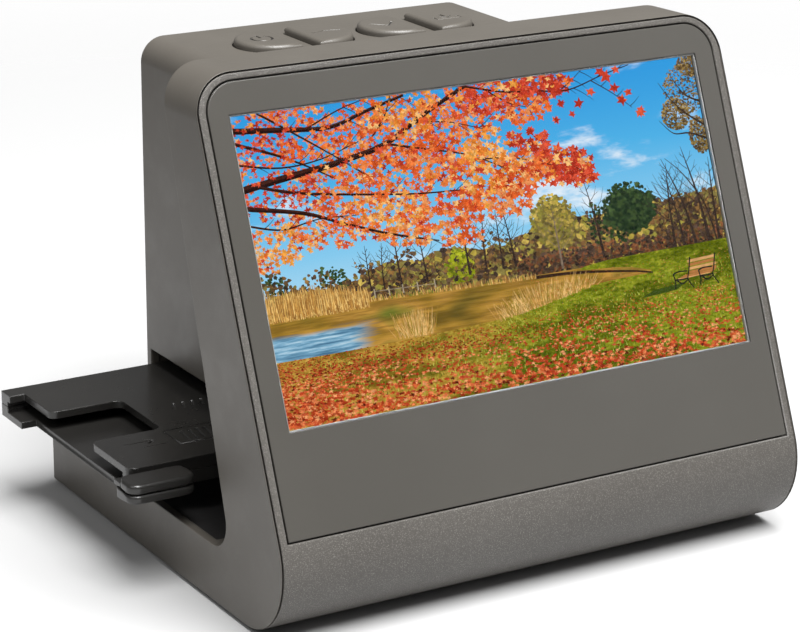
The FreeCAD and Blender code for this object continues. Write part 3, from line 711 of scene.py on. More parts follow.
def rounded_outline(low: Point, high: Point, radii: Sequence[float], steps: int = 8) -> list[Point]:
    """A rectangle with rounded corners.

    Args:
        low: its lower left corner.
        high: its upper right corner.
        radii: the radius at lower left, lower right, upper right and upper left.
        steps: the steps round each corner.

    Returns:
        Its outline, anticlockwise.
    """
    corners = [(low[0], low[1], 1, 1, 180), (high[0], low[1], -1, 1, 270),
               (high[0], high[1], -1, -1, 0), (low[0], high[1], 1, -1, 90)]
    outline: list[Point] = []
    for (x, y, right, up, start), radius in zip(corners, radii):
        if radius <= 0:
            outline.append((x, y))
        else:
            outline += arc_points((x + right * radius, y + up * radius), radius, start, start + 90, steps)
    return outline


def ribbon(points: Sequence[Point], width: float) -> list[Point]:
    """The outline of a line of even width along a few points.

    Args:
        points: the points that the line runs through.
        width: its width.

    Returns:
        Its outline, anticlockwise.
    """
    left: list[Point] = []
    right: list[Point] = []
    for index, point in enumerate(points):
        before = Vector(points[max(index - 1, 0)])
        after = Vector(points[min(index + 1, len(points) - 1)])
        along = (after - before).normalized()
        side = Vector((-along.y, along.x)) * width / 2
        left.append((point[0] + side.x, point[1] + side.y))
        right.append((point[0] - side.x, point[1] - side.y))
    return right + left[::-1]


def extruded(outline: Sequence[Point], low: float, high: float,
             place: Matrix = Matrix.Identity(4)) -> bmesh.types.BMesh:
    """A flat outline given thickness.

    Args:
        outline: its points, anticlockwise.
        low: the height that it starts from.
        high: the height that it reaches.
        place: where it goes.

    Returns:
        The closed form.
    """
    form = bmesh.new()
    face = form.faces.new([form.verts.new((x, y, low)) for x, y in outline])
    grown = bmesh.ops.extrude_face_region(form, geom=[face])
    moved = [item for item in grown["geom"] if isinstance(item, bmesh.types.BMVert)]
    bmesh.ops.translate(form, verts=moved, vec=(0, 0, high - low))
    bmesh.ops.recalc_face_normals(form, faces=form.faces)
    bmesh.ops.transform(form, matrix=place, verts=form.verts)
    return form


def joined(forms: Iterable[bmesh.types.BMesh]) -> bmesh.types.BMesh:
    """Put several forms in one.

    Args:
        forms: the forms. They are freed.

    Returns:
        The one form.
    """
    whole = bmesh.new()
    for form in forms:
        mesh = bpy.data.meshes.new("joined")
        form.to_mesh(mesh)
        form.free()
        whole.from_mesh(mesh)
        bpy.data.meshes.remove(mesh)
    return whole


def carved(form: bmesh.types.BMesh, cutters: Sequence[bmesh.types.BMesh]) -> bmesh.types.BMesh:
    """A form less its cutters, by exact booleans, one cutter at a time.

    Args:
        form: the form. It is freed.
        cutters: what is cut away. They are freed.

    Returns:
        What is left, with its flat faces whole again.
    """
    scene = bpy.context.scene.collection
    mesh = bpy.data.meshes.new("blank")
    form.to_mesh(mesh)
    form.free()
    blank = bpy.data.objects.new("blank", mesh)
    scene.objects.link(blank)
    tools = []
    for cutter in cutters:
        cutter_mesh = bpy.data.meshes.new("cutter")
        cutter.to_mesh(cutter_mesh)
        cutter.free()
        tool = bpy.data.objects.new("cutter", cutter_mesh)
        scene.objects.link(tool)
        tools.append(tool)
        cut = blank.modifiers.new("cut", "BOOLEAN")
        cut.operation = "DIFFERENCE"
        cut.solver = "EXACT"
        cut.object = tool
    graph = bpy.context.evaluated_depsgraph_get()
    result = bpy.data.meshes.new_from_object(blank.evaluated_get(graph))
    whole = bmesh.new()
    whole.from_mesh(result)
    for item in tools + [blank]:
        old = item.data
        bpy.data.objects.remove(item)
        bpy.data.meshes.remove(old)
    bpy.data.meshes.remove(result)
    bmesh.ops.remove_doubles(whole, verts=whole.verts, dist=MERGE_GAP)
    bmesh.ops.dissolve_limit(whole, angle_limit=FLAT_ANGLE, verts=whole.verts, edges=whole.edges)
    return whole


def block(low: Sequence[float], high: Sequence[float], rounding: float = 0.0,
          segments: int = 4) -> bmesh.types.BMesh:
    """A box between two corners, with its edges rounded.

    Args:
        low: its lowest corner.
        high: its highest corner.
        rounding: the radius of its edges, or 0.
        segments: the steps across each edge.

    Returns:
        The box.
    """
    form = bmesh.new()
    bmesh.ops.create_cube(form, size=1.0)
    size = Vector(high) - Vector(low)
    middle = (Vector(high) + Vector(low)) / 2
    bmesh.ops.transform(form, matrix=Matrix.Translation(middle) @ Matrix.Diagonal((*size, 1)),
                        verts=form.verts)
    if rounding > 0:
        bmesh.ops.bevel(form, geom=form.edges[:], offset=rounding, offset_type="OFFSET",
                        affect="EDGES", segments=segments, profile=0.5, material=-1,
                        clamp_overlap=True)
    return form


# The screen


class ScreenPlane:
    """The window's own frame: u to the right, v up its slope from its lower edge, w out of its face."""

    tilt = math.radians(22.2)
    view_middle = mm(51.92)
    view_half_width = mm(55.35)
    view_half_height = mm(30.92)

    def __init__(self) -> None:
        """Work the frame out from the CAD window's box."""
        low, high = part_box("screen_window")
        sine, cosine = math.sin(self.tilt), math.cos(self.tilt)
        deep, tall = high.y - low.y, high.z - low.z
        spread = cosine ** 2 - sine ** 2
        self.length = (tall * cosine - deep * sine) / spread
        self.thick = (deep * cosine - tall * sine) / spread
        self.half = (high.x - low.x) / 2
        self.matrix = Matrix(((1, 0, 0, 0), (0, sine, -cosine, low.y),
                              (0, cosine, sine, low.z + self.thick * sine), (0, 0, 0, 1)))

    def view_corner(self, side: int, end: int, margin: float = 0.0) -> Point:
        """A corner of the lit view, grown by a margin."""
        return (side * (self.view_half_width + margin),
                self.view_middle + end * (self.view_half_height + margin))

    def picture(self, x: float, y: float, depth: float) -> Vector:
        """A point of the picture, from its lower left corner, at a depth behind the window's face."""
        return self.matrix @ Vector((x - self.view_half_width,
                                     y + self.view_middle - self.view_half_height, -depth))


SCREEN = ScreenPlane()


@dataclass
class ScreenWindow:
    """The smoked border of the window, its clear middle and the thin frame round the lit view."""

    corner: float = mm(6.5)
    corner_steps: int = 12
    rim: float = mm(0.3)
    rim_top: float = -mm(0.3)
    rim_foot: float = -mm(1.1)
    rim_edge: float = mm(0.04)
    pane_thick: float = mm(0.25)
    pane_edge: float = mm(0.02)
    edge: float = mm(0.18)

    def build(self) -> None:
        """Make the three pieces."""
        self.border()
        self.pane()
        self.view_rim()

    def border(self) -> None:
        """The printed border: a plate with rounded upper corners, with the view cut out of it."""
        outline = rounded_outline((-SCREEN.half, 0), (SCREEN.half, SCREEN.length),
                                  (0, 0, self.corner, self.corner), self.corner_steps)
        plate = extruded(outline, -SCREEN.thick, 0)
        view = block((*SCREEN.view_corner(-1, -1, self.rim), -1), (*SCREEN.view_corner(1, 1, self.rim), 1))
        plate = carved(plate, [view])
        soften(plate, self.edge)
        bmesh.ops.transform(plate, matrix=SCREEN.matrix, verts=plate.verts)
        finish_piece(plate, "window_border", SMOKED, "casing", ["screen_window"])

    def pane(self) -> None:
        """The clear middle, flush with the border."""
        pane = block((*SCREEN.view_corner(-1, -1, self.rim), -self.pane_thick),
                     (*SCREEN.view_corner(1, 1, self.rim), 0), self.pane_edge, 1)
        bmesh.ops.transform(pane, matrix=SCREEN.matrix, verts=pane.verts)
        finish_piece(pane, "window_pane", PANE, "casing")

    def view_rim(self) -> None:
        """The thin pale frame of the display that shows round the lit view."""
        low, high = SCREEN.view_corner(-1, -1, self.rim), SCREEN.view_corner(1, 1, self.rim)
        frame_plate = block((*low, self.rim_foot), (*high, self.rim_top))
        view = block((*SCREEN.view_corner(-1, -1), -1), (*SCREEN.view_corner(1, 1), 1))
        rim = carved(frame_plate, [view])
        soften(rim, self.rim_edge, 1)
        bmesh.ops.transform(rim, matrix=SCREEN.matrix, verts=rim.verts)
        finish_piece(rim, "display_rim", RIM, "casing")


@dataclass(frozen=True)
class Glow:
    """A lit part of the picture, whose colour is the tint painted on its shapes."""

    name: str
    strength: float = 1.0
    mottle: float = 0.25
    mottle_scale: float = 900.0

    def material(self) -> bpy.types.Material:
        """Build the material.

        Returns:
            The material.
        """
        material, nodes, shader, place = new_material(self.name)
        tint = nodes.add("VertexColor", layer_name="tint").outputs[0]
        cloud = nodes.noise(place, self.mottle_scale, 3.0, 0.6)
        shade = nodes.remap(cloud, 0.25, 0.75, 1.0 - self.mottle, 1.0 + self.mottle)
        scaled = nodes.add("VectorMath", {0: tint, "Scale": shade}, operation="SCALE")
        light_up(nodes, shader, scaled.outputs[0], self.strength)
        return material


def light_up(nodes: Nodes, shader: bpy.types.Node, colour: object, strength: float) -> None:
    """Make a shader a lit screen of one colour pattern.

    Args:
        nodes: the material's node maker.
        shader: its Principled BSDF.
        colour: the socket with the colours.
        strength: how bright they are.
    """
    shader.inputs["Base Color"].default_value = (0.0, 0.0, 0.0, 1.0)
    shader.inputs["Roughness"].default_value = 0.6
    shader.inputs["Specular IOR Level"].default_value = 0.0
    shader.inputs["Emission Strength"].default_value = strength
    nodes.wire(shader.inputs["Emission Color"], colour)


@dataclass(frozen=True)
class SkyGlow:
    """A blue sky, deeper overhead, with thin streaked clouds."""

    name: str
    strength: float = 1.0
    horizon: float = mm(50)
    zenith: float = mm(104)
    cloud_cover: float = 0.85

    def material(self) -> bpy.types.Material:
        """Build the material.

        Returns:
            The material.
        """
        material, nodes, shader, place = new_material(self.name)
        axes = nodes.add("SeparateXYZ", {0: place})
        height = nodes.remap(axes.outputs[2], self.horizon, self.zenith)
        blue = nodes.ramp(height, [(0.0, paint(196, 226, 240)), (0.35, paint(134, 202, 238)),
                                   (0.7, paint(78, 176, 230)), (1.0, paint(46, 152, 222))])
        streak = nodes.noise(nodes.stretched(place, (26, 60, 90)), 1.0, 6.0, 0.62)
        cloud = nodes.remap(streak, 0.57, 0.72)
        cover = nodes.maths("MULTIPLY", cloud, self.cloud_cover)
        light_up(nodes, shader, nodes.mix(cover, blue, paint(244, 248, 252)), self.strength)
        return material


@dataclass(frozen=True)
class PondGlow:
    """Still water: the sky near the bank, and the brown of the reeds further out, in fine ripples."""

    name: str
    strength: float = 1.0
    sky_right: float = mm(-46)
    reeds_left: float = mm(-24)
    sky_top: float = mm(56.5)
    reeds_foot: float = mm(60)

    def material(self) -> bpy.types.Material:
        """Build the material.

        Returns:
            The material.
        """
        material, nodes, shader, place = new_material(self.name)
        axes = nodes.add("SeparateXYZ", {0: place})
        ripple = nodes.noise(nodes.stretched(place, (90, 500, 1300)), 1.0, 4.0, 0.6)
        broad = nodes.noise(nodes.stretched(place, (60, 60, 140)), 1.0, 2.0, 0.5)
        across = nodes.remap(axes.outputs[0], self.sky_right, self.reeds_left)
        down = nodes.remap(axes.outputs[2], self.sky_top, self.reeds_foot)
        reeds = nodes.maths("MAXIMUM", across, down)
        brown = nodes.ramp(broad, [(0.3, paint(82, 80, 34)), (0.45, paint(158, 124, 48)),
                                   (0.56, paint(186, 142, 66)), (0.68, paint(112, 118, 46)),
                                   (0.82, paint(66, 70, 34))])
        sky = nodes.ramp(ripple, [(0.3, paint(74, 128, 176)), (0.5, paint(122, 176, 214)),
                                  (0.7, paint(196, 218, 228))])
        edge = nodes.remap(nodes.maths("MULTIPLY_ADD", nodes.maths("SUBTRACT", ripple, 0.5), 0.9, reeds),
                           0.3, 0.75)
        dark = nodes.mix(nodes.remap(ripple, 0.35, 0.65), (0.62, 0.6, 0.55, 1), (1.15, 1.12, 1.05, 1))
        water = nodes.add("Mix", {0: 1.0, 6: nodes.mix(edge, sky, brown), 7: dark}, data_type="RGBA",
                          blend_type="MULTIPLY")
        light_up(nodes, shader, water.outputs[2], self.strength)
        return material


@dataclass(frozen=True)
class LawnGlow:
    """Mown grass in sun, with shade bands under the trees and bare, leaf-strewn earth to the left."""

    name: str
    strength: float = 1.0
    earth_right: float = mm(-34)
    grass_left: float = mm(14)
    wander: float = mm(70)
    shade_depth: float = 0.8

    def material(self) -> bpy.types.Material:
        """Build the material.

        Returns:
            The material.
        """
        material, nodes, shader, place = new_material(self.name)
        axes = nodes.add("SeparateXYZ", {0: place})
        fine = nodes.noise(nodes.stretched(place, (900, 900, 1900)), 1.0, 4.0, 0.7)
        broad = nodes.noise(nodes.stretched(place, (42, 42, 150)), 1.0, 4.0, 0.6)
        sunny = nodes.ramp(fine, [(0.25, paint(58, 76, 14)), (0.5, paint(122, 134, 26)),
                                  (0.75, paint(184, 184, 56))])
        olive = nodes.ramp(fine, [(0.25, paint(92, 66, 22)), (0.5, paint(176, 136, 50)),
                                  (0.75, paint(222, 180, 92))])
        shifted = nodes.maths("MULTIPLY_ADD", nodes.maths("SUBTRACT", broad, 0.5), self.wander,
                              axes.outputs[0])
        across = nodes.remap(shifted, self.earth_right, self.grass_left)
        grass = nodes.mix(across, olive, sunny)
        band = nodes.remap(broad, 0.50, 0.58)
        shaded = nodes.maths("MULTIPLY", band, self.shade_depth)
        shade = nodes.mix(shaded, (1, 1, 1, 1), (0.32, 0.36, 0.20, 1))
        lawn = nodes.add("Mix", {0: 1.0, 6: grass, 7: shade}, data_type="RGBA", blend_type="MULTIPLY")
        light_up(nodes, shader, lawn.outputs[2], self.strength)
        return material


class Layer(Enum):
    """The picture's layers: each one's depth behind the window's face, in millimetres, and its seed."""

    SKY = (1.40, 1)
    TREES = (1.35, 2)
    POND = (1.21, 3)
    LAWN = (1.18, 4)
    GROWTH = (1.14, 5)
    FALLEN_LEAVES = (1.04, 6)
    BACK_LEAVES = (0.92, 9)
    BENCH = (0.84, 7)
    LIMBS = (0.69, 8)
    FRONT_LEAVES = (0.60, 10)


class Canvas:
    """Flat coloured shapes laid over each other behind the window."""

    def __init__(self, layer: Layer) -> None:
        """Start with nothing painted.

        Args:
            layer: where the lowest shape lies, and what the random draws start from.
        """
        depth, seed = layer.value
        self.form = bmesh.new()
        self.tint = self.form.loops.layers.float_color.new("tint")
        self.depth = mm(depth)
        self.draw = random.Random(seed)

    def shape(self, points: Iterable[Point], colour: Colour, lift: float = 0.0) -> None:
        """Lay down one shape, its points in millimetres of the picture, clipped to the picture.

        Args:
            points: its outline.
            colour: its colour.
            lift: how far in front of the canvas's own depth it lies, in metres.
        """
        wide, tall = 2 * SCREEN.view_half_width, 2 * SCREEN.view_half_height
        held = [(min(max(mm(x), 0.0), wide), min(max(mm(y), 0.0), tall)) for x, y in points]
        if len({(round(x, 7), round(y, 7)) for x, y in held}) < 3:
            return
        face = self.form.faces.new([self.form.verts.new(SCREEN.picture(x, y, self.depth - lift))
                                    for x, y in held])
        for loop in face.loops:
            loop[self.tint] = colour

    def blot(self, centre: Point, width: float, height: float, colour: Colour, sides: int = 7,
             ragged: float = 0.35, lift: float = 0.0, turn: float = 0.0) -> None:
        """Lay down a ragged round shape.

        Args:
            centre: its middle.
            width: its half width.
            height: its half height.
            colour: its colour.
            sides: the number of its corners.
            ragged: how far its corners stray, as a share of its size.
            lift: how far in front of the canvas's own depth it lies, in metres.
            turn: the angle of its first corner.
        """
        points = []
        for side in range(sides):
            angle = 2 * math.pi * side / sides + turn
            reach = 1 + self.draw.uniform(-ragged, ragged)
            points.append((centre[0] + width * reach * math.cos(angle),
                           centre[1] + height * reach * math.sin(angle)))
        self.shape(points, colour, lift)

    def leaf(self, centre: Point, size: float, turn: float, colour: Colour, flat: float = 1.0,
             lift: float = 0.0) -> None:
        """Lay down a leaf with five pointed lobes and a short stalk.

        Args:
            centre: its middle.
            size: the reach of its longest lobe.
            turn: the angle of that lobe.
            colour: its colour.
            flat: its height as a share of its width, as it lies.
            lift: how far in front of the canvas's own depth it lies, in metres.
        """
        reaches = (1.0, 0.42, 0.9, 0.36, 0.62, 0.16, 0.62, 0.36, 0.9, 0.42)
        points = []
        for step, reach in enumerate(reaches):
            angle = turn + math.tau * step / len(reaches)
            points.append((centre[0] + size * reach * math.cos(angle),
                           centre[1] + size * reach * math.sin(angle) * flat))
        self.shape(points, colour, lift)

    def stroke(self, points: Sequence[Point], start: float, end: float, colour: Colour,
               lift: float = 0.0) -> None:
        """Lay down a tapering stroke through a few points, in short straight pieces.

        Args:
            points: the points that it runs through.
            start: its width at the first point.
            end: its width at the last one.
            colour: its colour.
            lift: how far in front of the canvas's own depth it starts, in metres.
        """
        count = len(points) - 1
        for index in range(count):
            first, last = Vector(points[index]), Vector(points[index + 1])
            along = (last - first).normalized()
            side = Vector((-along.y, along.x))
            near_half = (start + (end - start) * index / count) / 2
            far_half = (start + (end - start) * (index + 1) / count) / 2
            reach = along * near_half * 0.5
            corners = (first - side * near_half - reach, last - side * far_half + reach,
                       last + side * far_half + reach, first + side * near_half - reach)
            self.shape([(corner.x, corner.y) for corner in corners], colour,
                       lift + index * SPAN_LIFT)

    def piece(self, name: str, finish: Finish) -> None:
        """Finish the canvas as a piece of the display."""
        finish_piece(self.form, name, finish, "casing")


def curve_points(points: Sequence[Point], steps: int = 5) -> list[Point]:
    """A smooth line through a few points, by Catmull-Rom spans.

    Args:
        points: the points.
        steps: the steps from one to the next.

    Returns:
        The points of the smooth line.
    """
    held = [points[0], *points, points[-1]]
    line: list[Point] = []
    for index in range(len(points) - 1):
        a, b, c, d = (Vector(point) for point in held[index:index + 4])
        for step in range(steps):
            t = step / steps
            spot = 0.5 * ((2 * b) + (c - a) * t + (2 * a - 5 * b + 4 * c - d) * t ** 2
                          + (3 * b - a - 3 * c + d) * t ** 3)
            line.append((spot.x, spot.y))
    line.append(points[-1])
    return line


SKY = SkyGlow("picture_sky_glow")
POND = PondGlow("picture_pond_glow")
LAWN = LawnGlow("picture_lawn_glow")
TREES = Glow("picture_tree_glow", mottle=0.35)
GROWTH = Glow("picture_growth_glow")
LEAVES = Glow("picture_leaf_glow", mottle=0.3, mottle_scale=1500.0)
BENCH = Glow("picture_bench_glow", mottle=0.15)
LIMBS = Glow("picture_limb_glow", mottle=0.3)


def draw_spot(canvas: Canvas, skyline: Sequence[Point], foot: float) -> tuple[Point, float]:
    """A random point of a skyline, and a random drop below it.

    Args:
        canvas: whose random draws are used.
        skyline: the points to choose from.
        foot: the height that the drop stops at.

    Returns:
        The point, and the drop in millimetres.
    """
    spot = canvas.draw.choice(skyline)
    shifted = (spot[0] + canvas.draw.uniform(-1.0, 1.0), spot[1])
    return shifted, max(spot[1] - foot, 0.0) * canvas.draw.random() ** 1.3


@dataclass
class LakePicture:
    """The sample picture on the display: a pond in autumn under a maple, in millimetres of the view."""

    width: float = 110.7
    height: float = 61.84
    water_line: float = 21.5

    def build(self) -> None:
        """Paint the picture from the back to the front."""
        self.sky()
        self.far_trees()
        self.pond()
        self.lawn()
        self.growth()
        self.fallen_leaves()
        self.bench()
        self.maple_leaves("picture_back_leaves", Layer.BACK_LEAVES, 0.8)
        self.limbs()
        self.maple_leaves("picture_front_leaves", Layer.FRONT_LEAVES, 0.24)

    def sky(self) -> None:
        """A sheet over the whole view."""
        canvas = Canvas(Layer.SKY)
        canvas.shape([(0, 0), (self.width, 0), (self.width, self.height), (0, self.height)],
                     paint(60, 150, 228))
        canvas.piece("picture_sky", SKY)

    def crown(self, canvas: Canvas, middle: Point, width: float, height: float, colours: Sequence[Colour],
              count: int, size: float) -> None:
        """A tree's crown of many small blots, darker inside and below.

        Args:
            canvas: what it is painted on.
            middle: its middle.
            width: its half width.
            height: its half height.
            colours: the colours to draw from.
            count: the number of blots.
            size: the half width of a blot.
        """
        for _ in range(count):
            angle = canvas.draw.uniform(0, math.tau)
            reach = math.sqrt(canvas.draw.random())
            x = middle[0] + width * reach * math.cos(angle)
            y = middle[1] + height * reach * math.sin(angle)
            colour = canvas.draw.choice(colours)
            lit = 0.62 + 0.5 * (0.5 + 0.5 * math.sin(angle)) * reach
            shade = tuple(min(level * lit, 1.0) for level in colour[:3]) + (1.0,)
            grow = canvas.draw.uniform(0.6, 1.4) * size
            canvas.blot((x, y), grow, grow * 0.8, shade, 6, 0.45, canvas.draw.uniform(0, mm(0.1)))

    def bare_tree(self, canvas: Canvas, foot: Point, height: float, colour: Colour, lean: float = 0.0,
                  forks: int = 9) -> None:
        """A bare trunk with rising branches.

        Args:
            canvas: what it is painted on.
            foot: where the trunk starts.
            height: the trunk's height.
            colour: its colour.
            lean: how far its top stands to the right of its foot.
            forks: the number of branches.
        """
        draw = canvas.draw
        top = (foot[0] + lean, foot[1] + height)
        canvas.stroke(curve_points([foot, (foot[0] + lean * 0.3, foot[1] + height * 0.5), top], 4),
                      height * 0.045, 0.08, colour, mm(0.11))
        for fork in range(forks):
            share = 0.25 + 0.7 * fork / forks
            start = (foot[0] + lean * share, foot[1] + height * share)
            side = -1 if fork % 2 else 1
            reach = height * (1 - share) * draw.uniform(0.35, 0.7)
            middle = (start[0] + side * reach * 0.5, start[1] + reach * 0.45)
            end = (start[0] + side * reach * 0.8, start[1] + reach * 1.1)
            canvas.stroke(curve_points([start, middle, end], 3), 0.16, 0.05, colour, mm(0.11))
            canvas.stroke([middle, (middle[0] + side * reach * 0.45, middle[1] + reach * 0.25)],
                          0.10, 0.04, colour, mm(0.11))

    def far_trees(self) -> None:
        """The tree line across the water and the larger trees on the right bank."""
        canvas = Canvas(Layer.TREES)
        green = [paint(52, 74, 44), paint(70, 92, 52), paint(38, 56, 38)]
        brown = [paint(124, 92, 56), paint(150, 112, 62), paint(96, 74, 48), paint(134, 122, 66)]
        gold = [paint(176, 156, 66), paint(150, 142, 62), paint(196, 170, 84), paint(126, 112, 58)]
        dusky = [paint(84, 66, 56), paint(102, 80, 60), paint(64, 52, 44)]
        lime = [paint(150, 160, 30), paint(178, 182, 44), paint(120, 134, 30)]
        trunk = paint(58, 46, 40)
        skyline = curve_points([(0, 25.0), (6, 26.2), (13, 25.4), (20, 26.2), (28, 28.6), (36, 28.4),
                                (44, 29.6), (52, 28.4), (60, 29.2), (66, 32.5), (72, 33.5), (78, 30.5),
                                (84, 33.2), (92, 34.0), (98, 31.5), (104, 32.5), (self.width, 33.5)])
        canvas.shape([(0, 21), *skyline, (self.width, 21)], paint(104, 88, 52))
        for _ in range(1500):
            spot, jump = draw_spot(canvas, skyline, self.water_line)
            shade = canvas.draw.choice(brown + gold + dusky)
            canvas.blot((spot[0], spot[1] - jump), 0.8, 0.6, shade, 6, 0.5, canvas.draw.uniform(0, mm(0.03)))
        for x in range(0, 66, 2):
            tall = 3.6 + 1.3 * math.sin(x * 0.61) + 0.8 * math.sin(x * 0.23 + 1)
            self.crown(canvas, (x, 24.2 + tall * 0.4), 2.0, tall, brown + dusky, 26, 0.45)
        for x in (2, 4.5, 14, 16.5, 18):
            self.crown(canvas, (x, 27.2), 1.1, 3.0, green, 30, 0.35)
        for x, top in ((27, 33), (31, 36), (37, 35), (47, 38), (51, 36), (55, 36), (58, 37), (24, 33)):
            self.bare_tree(canvas, (x, 24), top - 24, trunk, canvas.draw.uniform(-1, 1.5))
        self.crown(canvas, (45, 25.8), 3.2, 3.6, lime, 190, 0.46)
        self.crown(canvas, (38, 25.4), 4.0, 3.2, brown + gold, 90, 0.42)
        canvas.blot((69, 31.0), 4.9, 5.0, paint(124, 112, 58), 14, 0.12, mm(0.035))
        self.crown(canvas, (69, 31.5), 5.6, 5.8, gold, 420, 0.42)
        self.bare_tree(canvas, (69, 22), 13, paint(120, 104, 88))
        self.crown(canvas, (79, 30.0), 2.0, 4.4, dusky + green, 80, 0.45)
        self.bare_tree(canvas, (79.5, 23), 16, trunk, -1.6)
        canvas.blot((88, 31.6), 5.9, 4.6, paint(44, 60, 38), 14, 0.12, mm(0.035))
        self.crown(canvas, (88, 32.0), 6.8, 5.4, green, 460, 0.46)
        self.crown(canvas, (84, 29.0), 3.4, 4.0, green, 100, 0.50)
        for x, top, lean in ((97.5, 40, 1.5), (100, 38, -2), (103, 41, -5), (106.5, 43, -3), (109, 40, 1)):
            self.bare_tree(canvas, (x, self.water_line), top - self.water_line, trunk, lean, 12)
        self.crown(canvas, (102, 28), 8.8, 5.2, dusky + brown, 620, 0.46)
        for x in range(60, 111, 2):
            self.crown(canvas, (x, 23.6), 1.9, 2.3, dusky + [paint(122, 74, 50), paint(140, 90, 56)], 60, 0.4)
        upper = [paint(150, 122, 66), paint(176, 148, 84), paint(112, 88, 54), paint(90, 70, 48)]
        for middle, width, height in (((107.5, 55), 5.4, 5.4), ((104, 50), 3.6, 3.4), ((109, 45), 2.6, 4.0),
                                      ((110, 60), 3.4, 2.4)):
            self.crown(canvas, middle, width, height, upper, 620, 0.22)
        for line in ([(self.width, 47), (107, 49.5), (103.5, 53), (101, 57)],
                     [(self.width, 52), (107, 54), (104, 59)],
                     [(self.width, 44), (106.5, 45.6), (102.5, 46), (99.5, 49)],
                     [(108.5, 21), (107, 30), (103, 37), (99, 41)]):
            canvas.stroke(curve_points(line), 0.5, 0.1, trunk, mm(0.12))
        canvas.piece("picture_trees", TREES)

    def pond(self) -> None:
        """The water, up to its far bank."""
        canvas = Canvas(Layer.POND)
        far = curve_points([(0, 22.4), (24, 22.2), (46, 21.6), (62, 21.4), (74, 21.3), (82, 20.9),
                            (92, 18.2)])
        canvas.shape([(0, 12), (60, 12), (90, 17)] + far[::-1], paint(120, 120, 70))
        canvas.piece("picture_pond", POND)

    def lawn(self) -> None:
        """The near bank, from the leaf-strewn corner round to the far side of the water."""
        canvas = Canvas(Layer.LAWN)
        near = curve_points([(0, 13.3), (18, 13.2), (40, 13.5), (56, 14.3), (66, 16.4), (78, 17.6),
                             (89, 17.9)])
        far = curve_points([(90.5, 18.4), (84, 20.0), (73, 21.0), (80, 22.0), (96, 22.2),
                            (self.width, 22.4)])
        canvas.shape([(0, 0)] + near + far + [(self.width, 0)], paint(130, 146, 50))
        canvas.piece("picture_lawn", LAWN)

    def growth(self) -> None:
        """Reeds, banks, the fence and single blades of grass."""
        canvas = Canvas(Layer.GROWTH)
        draw = canvas.draw
        reed = [paint(206, 160, 84), paint(226, 186, 112), paint(178, 128, 62), paint(150, 106, 52)]
        pale = [paint(206, 160, 92), paint(176, 132, 60), paint(150, 126, 44), paint(222, 184, 120)]
        for _ in range(1700):
            x = draw.uniform(0, 23)
            foot = draw.uniform(20.8, 23.2)
            tall = draw.uniform(2.0, 4.2) * (1 - 0.5 * max(0.0, (x - 12) / 11))
            canvas.stroke([(x, foot), (x + draw.uniform(-0.3, 0.3), foot + tall)], 0.20, 0.07,
                          draw.choice(reed), draw.uniform(0, mm(0.05)))
        for _ in range(300):
            x = draw.uniform(23, 62)
            foot = 22.0 - (x - 23) * 0.03
            tip = (x + draw.uniform(-0.2, 0.2), foot + draw.uniform(0.4, 1.3))
            canvas.stroke([(x, foot), tip], 0.2, 0.06, draw.choice(reed + [paint(116, 126, 48)]),
                          draw.uniform(0, mm(0.05)))
        for middle, spread, tall, count in ((32, 4.2, 5.5, 240), (63, 7.5, 4.8, 420), (56, 4.0, 3.6, 160),
                                            (71, 5.0, 3.2, 160)):
            for _ in range(count):
                x = draw.gauss(middle, spread * 0.45)
                foot = 13.6 + max(0.0, (x - 52) * 0.16)
                lean = (x - middle) * 0.32 + draw.uniform(-0.6, 0.6)
                canvas.stroke([(x, foot + draw.uniform(-0.2, 0.8)),
                               (x + lean, foot + tall * draw.uniform(0.35, 1.0))], 0.17, 0.05,
                              draw.choice(pale), draw.uniform(0, mm(0.06)))
        bank = curve_points([(62, 21.0), (70, 20.7), (78, 19.9), (86, 18.8), (90.5, 17.9)], 6)
        canvas.stroke(bank, 0.7, 0.35, paint(56, 38, 28), mm(0.02))
        for x in (24.5, 27.8, 31, 34.4, 38.4):
            canvas.stroke([(x, 22.6), (x, 24.2)], 0.3, 0.26, paint(170, 156, 132), mm(0.07))
        canvas.stroke([(24.5, 23.8), (31, 23.6), (38.4, 23.3)], 0.16, 0.14, paint(150, 136, 114), mm(0.07))
        grass = [paint(150, 176, 52), paint(96, 122, 32), paint(190, 198, 86), paint(70, 88, 26),
                 paint(168, 158, 66)]
        for _ in range(2600):
            y = 20.5 * draw.random() ** 0.8
            x = draw.uniform(8, self.width)
            if y > 12.4 + max(0.0, (x - 44) * 0.11):
                continue
            size = 0.25 + 0.5 * (1 - y / 21)
            canvas.stroke([(x, y), (x + draw.uniform(-0.4, 0.4) * size, y + size)], 0.12 * (1 + size), 0.04,
                          draw.choice(grass), draw.uniform(0, mm(0.08)))
        canvas.piece("picture_growth", GROWTH)

